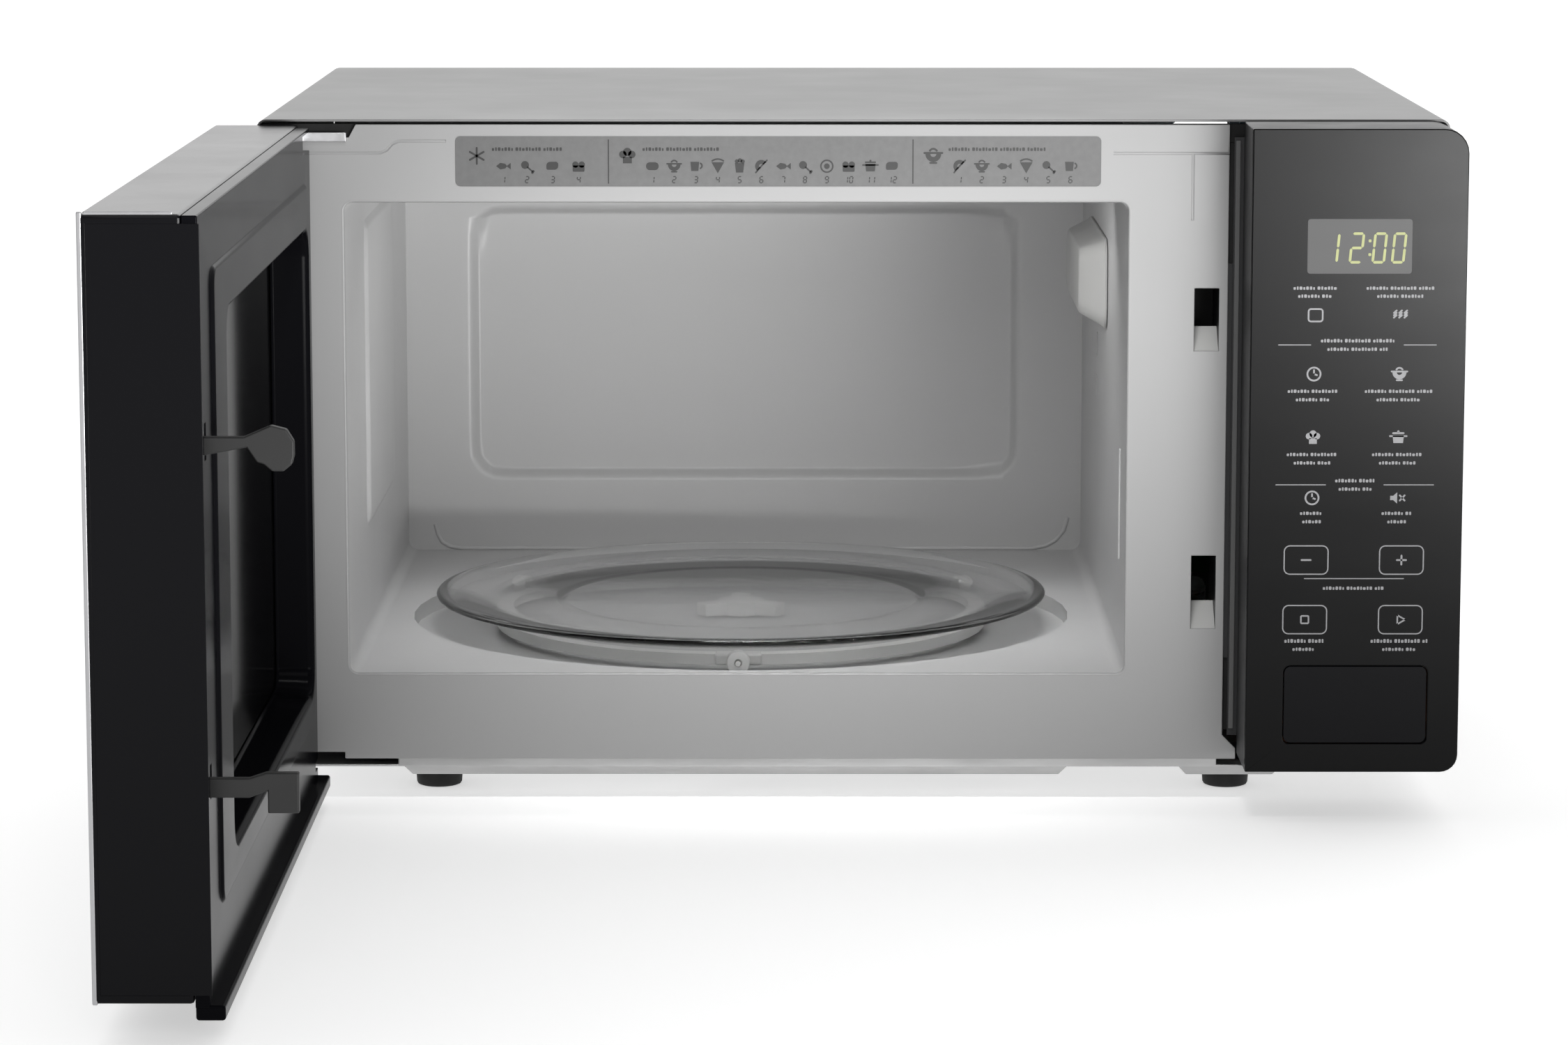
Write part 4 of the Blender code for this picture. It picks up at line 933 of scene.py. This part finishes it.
def imprint(name, outlines, front, material, depth=PRINT_T, body="cabinet"):
    flakes = joined([flake(run, front, depth) for run in outlines])
    mesh = bpy.data.meshes.new(name)
    flakes.to_mesh(mesh)
    flakes.free()
    keep(name, mesh, material, body)


# Control panel

PANEL_Y = -0.042
LEFT_KEY, RIGHT_KEY, MIDDLE = 0.1937, 0.2295, 0.2116
# Height of a row of keys, its two symbols, the widths of the two lines under each, and their height
KEYS = ((0.1935, ("clock", "bowl"), ((0.0220, 0.0150), (0.0290, 0.0190)), 0.1862),
        (0.1665, ("hat", "pot"), ((0.0220, 0.0160), (0.0220, 0.0160)), 0.1592),
        (0.1406, ("clock", "sound"), ((0.0100, 0.0080), (0.0130, 0.0080)), 0.1340))


def heading(z, width, *rules):
    """Two lines of print between two thin rules."""
    lines = label(MIDDLE, z + 0.0002, width, 0.0015) + label(MIDDLE, z - 0.0034, width * 0.82)
    middle = z - 0.0016
    return lines + [stroke(start, middle, end, middle, 0.0004) for start, end in rules]


def panel():
    housing = refine("control_housing", BLACK_PLASTIC, 0.0005, 3)
    smooth(housing, 40)
    rib = solid_box((0.1628, -0.0007, 0.0330), (0.1649, -0.0001, 0.2890))
    piece = keep("panel_side_rib", mesh_from(rib, "panel_side_rib"), RIB_PLASTIC)
    bevelled(piece, 0.00025, 3)
    face = refine("control_fascia", FASCIA, 0.0016, 6)
    smooth(face, 40)
    button = refine("release_button", BUTTON_GLOSS, 0.0006, 4)
    smooth(button, 40)
    front = PANEL_Y + 0.00004
    window = flake(rounded(0.1899, 0.2339, 0.2361, 0.2592, 0.0012, 4), front, 0.00016)
    piece = keep("display_window", mesh_from(window, "display_window"), DISPLAY_FACE)
    digits = []
    for digit, x in zip("1200", (0.2003, 0.2106, 0.2202, 0.2284)):
        digits += numeral(digit, x, 0.2470, 0.0058, 0.0132, 0.0011)
    digits += [bar(0.2161, z, 0.0012, 0.0012) for z in (0.2442, 0.2500)]
    imprint("clock_numerals", digits, front - 0.00014, DIGITS, 0.0001)
    lines = label(LEFT_KEY, 0.2300, 0.0190) + label(LEFT_KEY, 0.2266, 0.0150)
    lines += label(RIGHT_KEY, 0.2300, 0.0290) + label(RIGHT_KEY, 0.2266, 0.0200)
    lines += symbol("dish", LEFT_KEY, 0.2185, 0.0070) + symbol("waves", RIGHT_KEY, 0.2185, 0.0074)
    lines += heading(0.2075, 0.0310, (0.1783, 0.1918), (0.2313, 0.2448))
    for z, pair, widths, below in KEYS:
        for x, name, (wide, narrow) in zip((LEFT_KEY - 0.0003, RIGHT_KEY), pair, widths):
            lines += symbol(name, x, z, 0.0074)
            lines += label(x, below, wide) + label(x, below - 0.0036, narrow)
    lines += heading(0.1478, 0.0170, (0.1780, 0.1990), (0.2238, 0.2448))
    for x, z, name in ((0.1913, 0.1139, "minus"), (0.2318, 0.1139, "plus"),
                       (0.1911, 0.0882, "stop"), (0.2318, 0.0882, "start")):
        lines += outline_box(x, z, 0.0186, 0.0122, 0.0005, 0.0024) + symbol(name, x, z, 0.0064)
    lines += [stroke(0.1907, 0.1059, 0.2328, 0.1059, 0.0004)] + label(MIDDLE, 0.1018, 0.0260)
    for x, wide, narrow in ((0.1911, 0.0170, 0.0100), (0.2318, 0.0250, 0.0150)):
        lines += label(x, 0.0790, wide, 0.0016) + label(x, 0.0754, narrow)
    imprint("panel_print", lines, front, PRINT)


def menu_strip():
    strip = flake(rounded(-0.1714, 0.1052, 0.2693, 0.2908, 0.0022, 6), 0.0, 0.00025)
    keep("menu_strip", mesh_from(strip, "menu_strip"), STRIP)
    front = -0.00025
    lines = []
    for x in (-0.1058, 0.0246):
        lines.append(bar(x, 0.2800, 0.0005, 0.0190))
    heads = ((-0.1622, "flake", 0.030), (-0.0977, "hat", 0.034), (0.0333, "bowl", 0.042))
    for x, name, width in heads:
        lines += symbol(name, x, 0.2824, 0.0085)
        lines += label(x + 0.0065 + width / 2, 0.2853, width, 0.0015)
    groups = (((-0.1509, -0.1407, -0.1297, -0.1186), ("fish", "leg", "steak", "loaf")),
              ([-0.0870 + 0.00934 * i for i in range(12)],
               ("potato", "bowl", "cup", "slice", "bag", "leaf", "fish", "leg", "plate", "loaf", "pot",
                "steak")),
              ([0.0446 + 0.0095 * i for i in range(6)],
               ("leaf", "bowl", "fish", "slice", "leg", "cup")))
    for places, names in groups:
        for i, (x, name) in enumerate(zip(places, names)):
            lines += symbol(name, x, 0.2780, 0.0068)
            number = str(i + 1)
            for j, digit in enumerate(number):
                shift = (j - (len(number) - 1) / 2) * 0.0022
                lines += numeral(digit, x + shift, 0.2722, 0.0018, 0.0031, 0.00045)
    imprint("menu_print", lines, front, PRINT_LABEL, 0.0001)


# What is behind the covers

INSIDE = {
    "air_duct": (WHITE_PLASTIC, "white_plastic"),
    "cavity_lamp": (LAMP_GLASS, "clear_glass"),
    "control_board": (CIRCUIT, "circuit"),
    "display_module": (DISPLAY_FACE, "black_plastic"),
    "fan_blade": (FAN_PLASTIC, "fan"),
    "fan_motor": (ZINC, "zinc"),
    "fan_shroud": (WHITE_PLASTIC, "white_plastic"),
    "hv_capacitor": (CAN, "can"),
    "hv_diode": (BLACK_PLASTIC, "black_plastic"),
    "hv_transformer": (COPPER, "zinc"),
    # The interlock bracket is black here so that the latch slots read dark: painted shade
    "interlock_bracket": (BLACK_PLASTIC, "black_plastic"),
    "latch_spring": (ZINC, "zinc"),
    "lever_spring": (ZINC, "zinc"),
    "magnetron": (CAN, "zinc"),
    "mains_filter": (CIRCUIT, "circuit"),
    "monitor_switch": (BLACK_PLASTIC, "black_plastic"),
    "primary_switch": (BLACK_PLASTIC, "black_plastic"),
    "secondary_switch": (BLACK_PLASTIC, "black_plastic"),
    "release_lever": (BLACK_PLASTIC, "black_plastic"),
    "thermal_cutout": (BLACK_PLASTIC, "black_plastic"),
    "turntable_motor": (ZINC, "zinc"),
    "waveguide": (ZINC, "zinc"),
}


def inside_parts():
    for node, (material, slot_name) in INSIDE.items():
        finish_node(node, material)


# Floor, light and camera

def studio():
    made = Nodes("floor_paper", (0.80, 0.80, 0.80), 0.8, Emission_Strength=0.50)
    made.shader.inputs["Emission Color"].default_value = (1.0, 1.0, 1.0, 1.0)
    made.bump(made.noise(300.0), 0.00002, 0.2)
    shape = bmesh.new()
    bmesh.ops.create_grid(shape, x_segments=1, y_segments=1, size=FLOOR_SIZE)
    mesh = bpy.data.meshes.new("floor")
    shape.to_mesh(mesh)
    shape.free()
    floor = bpy.data.objects.new("floor", mesh)
    mesh.materials.append(made.material)
    bpy.context.scene.collection.objects.link(floor)

    world = bpy.data.worlds.new("studio")
    bpy.context.scene.world = world
    world.use_nodes = True
    tree = world.node_tree
    back = tree.nodes["Background"]
    place = tree.nodes.new("ShaderNodeTexCoord")
    parts = tree.nodes.new("ShaderNodeSeparateXYZ")
    tree.links.new(place.outputs["Generated"], parts.inputs["Vector"])
    depth = tree.nodes.new("ShaderNodeMapRange")
    depth.interpolation_type = "SMOOTHSTEP"
    for socket, number in zip(("From Min", "From Max", "To Min", "To Max"), WORLD_DEPTH):
        depth.inputs[socket].default_value = number
    tree.links.new(parts.outputs["Y"], depth.inputs["Value"])
    height = tree.nodes.new("ShaderNodeMapRange")
    height.interpolation_type = "SMOOTHSTEP"
    for socket, number in zip(("From Min", "From Max", "To Min", "To Max"), WORLD_HEIGHT):
        height.inputs[socket].default_value = number
    tree.links.new(parts.outputs["Z"], height.inputs["Value"])
    brighter = tree.nodes.new("ShaderNodeMath")
    brighter.operation = "MAXIMUM"
    tree.links.new(depth.outputs["Result"], brighter.inputs[0])
    tree.links.new(height.outputs["Result"], brighter.inputs[1])
    back.inputs["Color"].default_value = (1.0, 1.0, 1.0, 1.0)
    tree.links.new(brighter.outputs["Value"], back.inputs["Strength"])

    for name, at, aim, size, power, spread in LIGHTS:
        lamp = bpy.data.lights.new(name, "AREA")
        lamp.shape = "RECTANGLE"
        lamp.size, lamp.size_y = size
        lamp.energy = power
        lamp.spread = math.radians(spread)
        holder = bpy.data.objects.new(name, lamp)
        holder.location = ORIGIN + Vector(at)
        holder.rotation_euler = (Vector(aim) - Vector(at)).to_track_quat("-Z", "Y").to_euler()
        bpy.context.scene.collection.objects.link(holder)

    lens = bpy.data.cameras.new("camera")
    lens.lens, lens.sensor_width = LENS_MM, FILM_MM
    camera = bpy.data.objects.new("camera", lens)
    camera.location = ORIGIN + Vector(CAMERA_AT)
    camera.rotation_euler = (math.radians(CAMERA_TILT), 0.0, math.radians(CAMERA_TURN))
    bpy.context.scene.collection.objects.link(camera)
    bpy.context.scene.camera = camera
    bpy.context.scene.view_settings.view_transform = "Standard"


# The world's strength rises in front of the oven and overhead: from, to, and the strength at each
WORLD_DEPTH = (-0.25, 0.10, 0.03, 1.25)
WORLD_HEIGHT = (0.30, 0.90, 0.03, 0.34)
FLOOR_SIZE = 60.0
LENS_MM, FILM_MM = 116.2, 36.0
CAMERA_AT = (-0.0259, -2.166, 0.4546)
CAMERA_TILT, CAMERA_TURN = 81.31, 0.125
# Name, place, what it faces, width and height, watts, and how wide its beam spreads in degrees
LIGHTS = (
    ("key", (-0.1, -2.0, 0.95), (0.0, 0.0, 0.05), (1.0, 0.6), 6.0, 180),
    ("cavity_glow", (-0.03, 0.10, 0.256), (-0.03, 0.22, 0.06), (0.24, 0.05), 0.22, 180),
    ("front_glow", (-0.03, -0.30, 0.50), (-0.03, 0.10, 0.055), (0.30, 0.06), 0.24, 40),
    ("low_sheen", (1.15, -2.9, 0.004), (1.15, -2.9, 1.0), (1.1, 2.4), 620.0, 180),
)


def main():
    front_plate()
    cover()
    cavity()
    turntable()
    underside()
    rear()
    hinges()
    door()
    latches()
    panel()
    menu_strip()
    inside_parts()
    studio()


main()
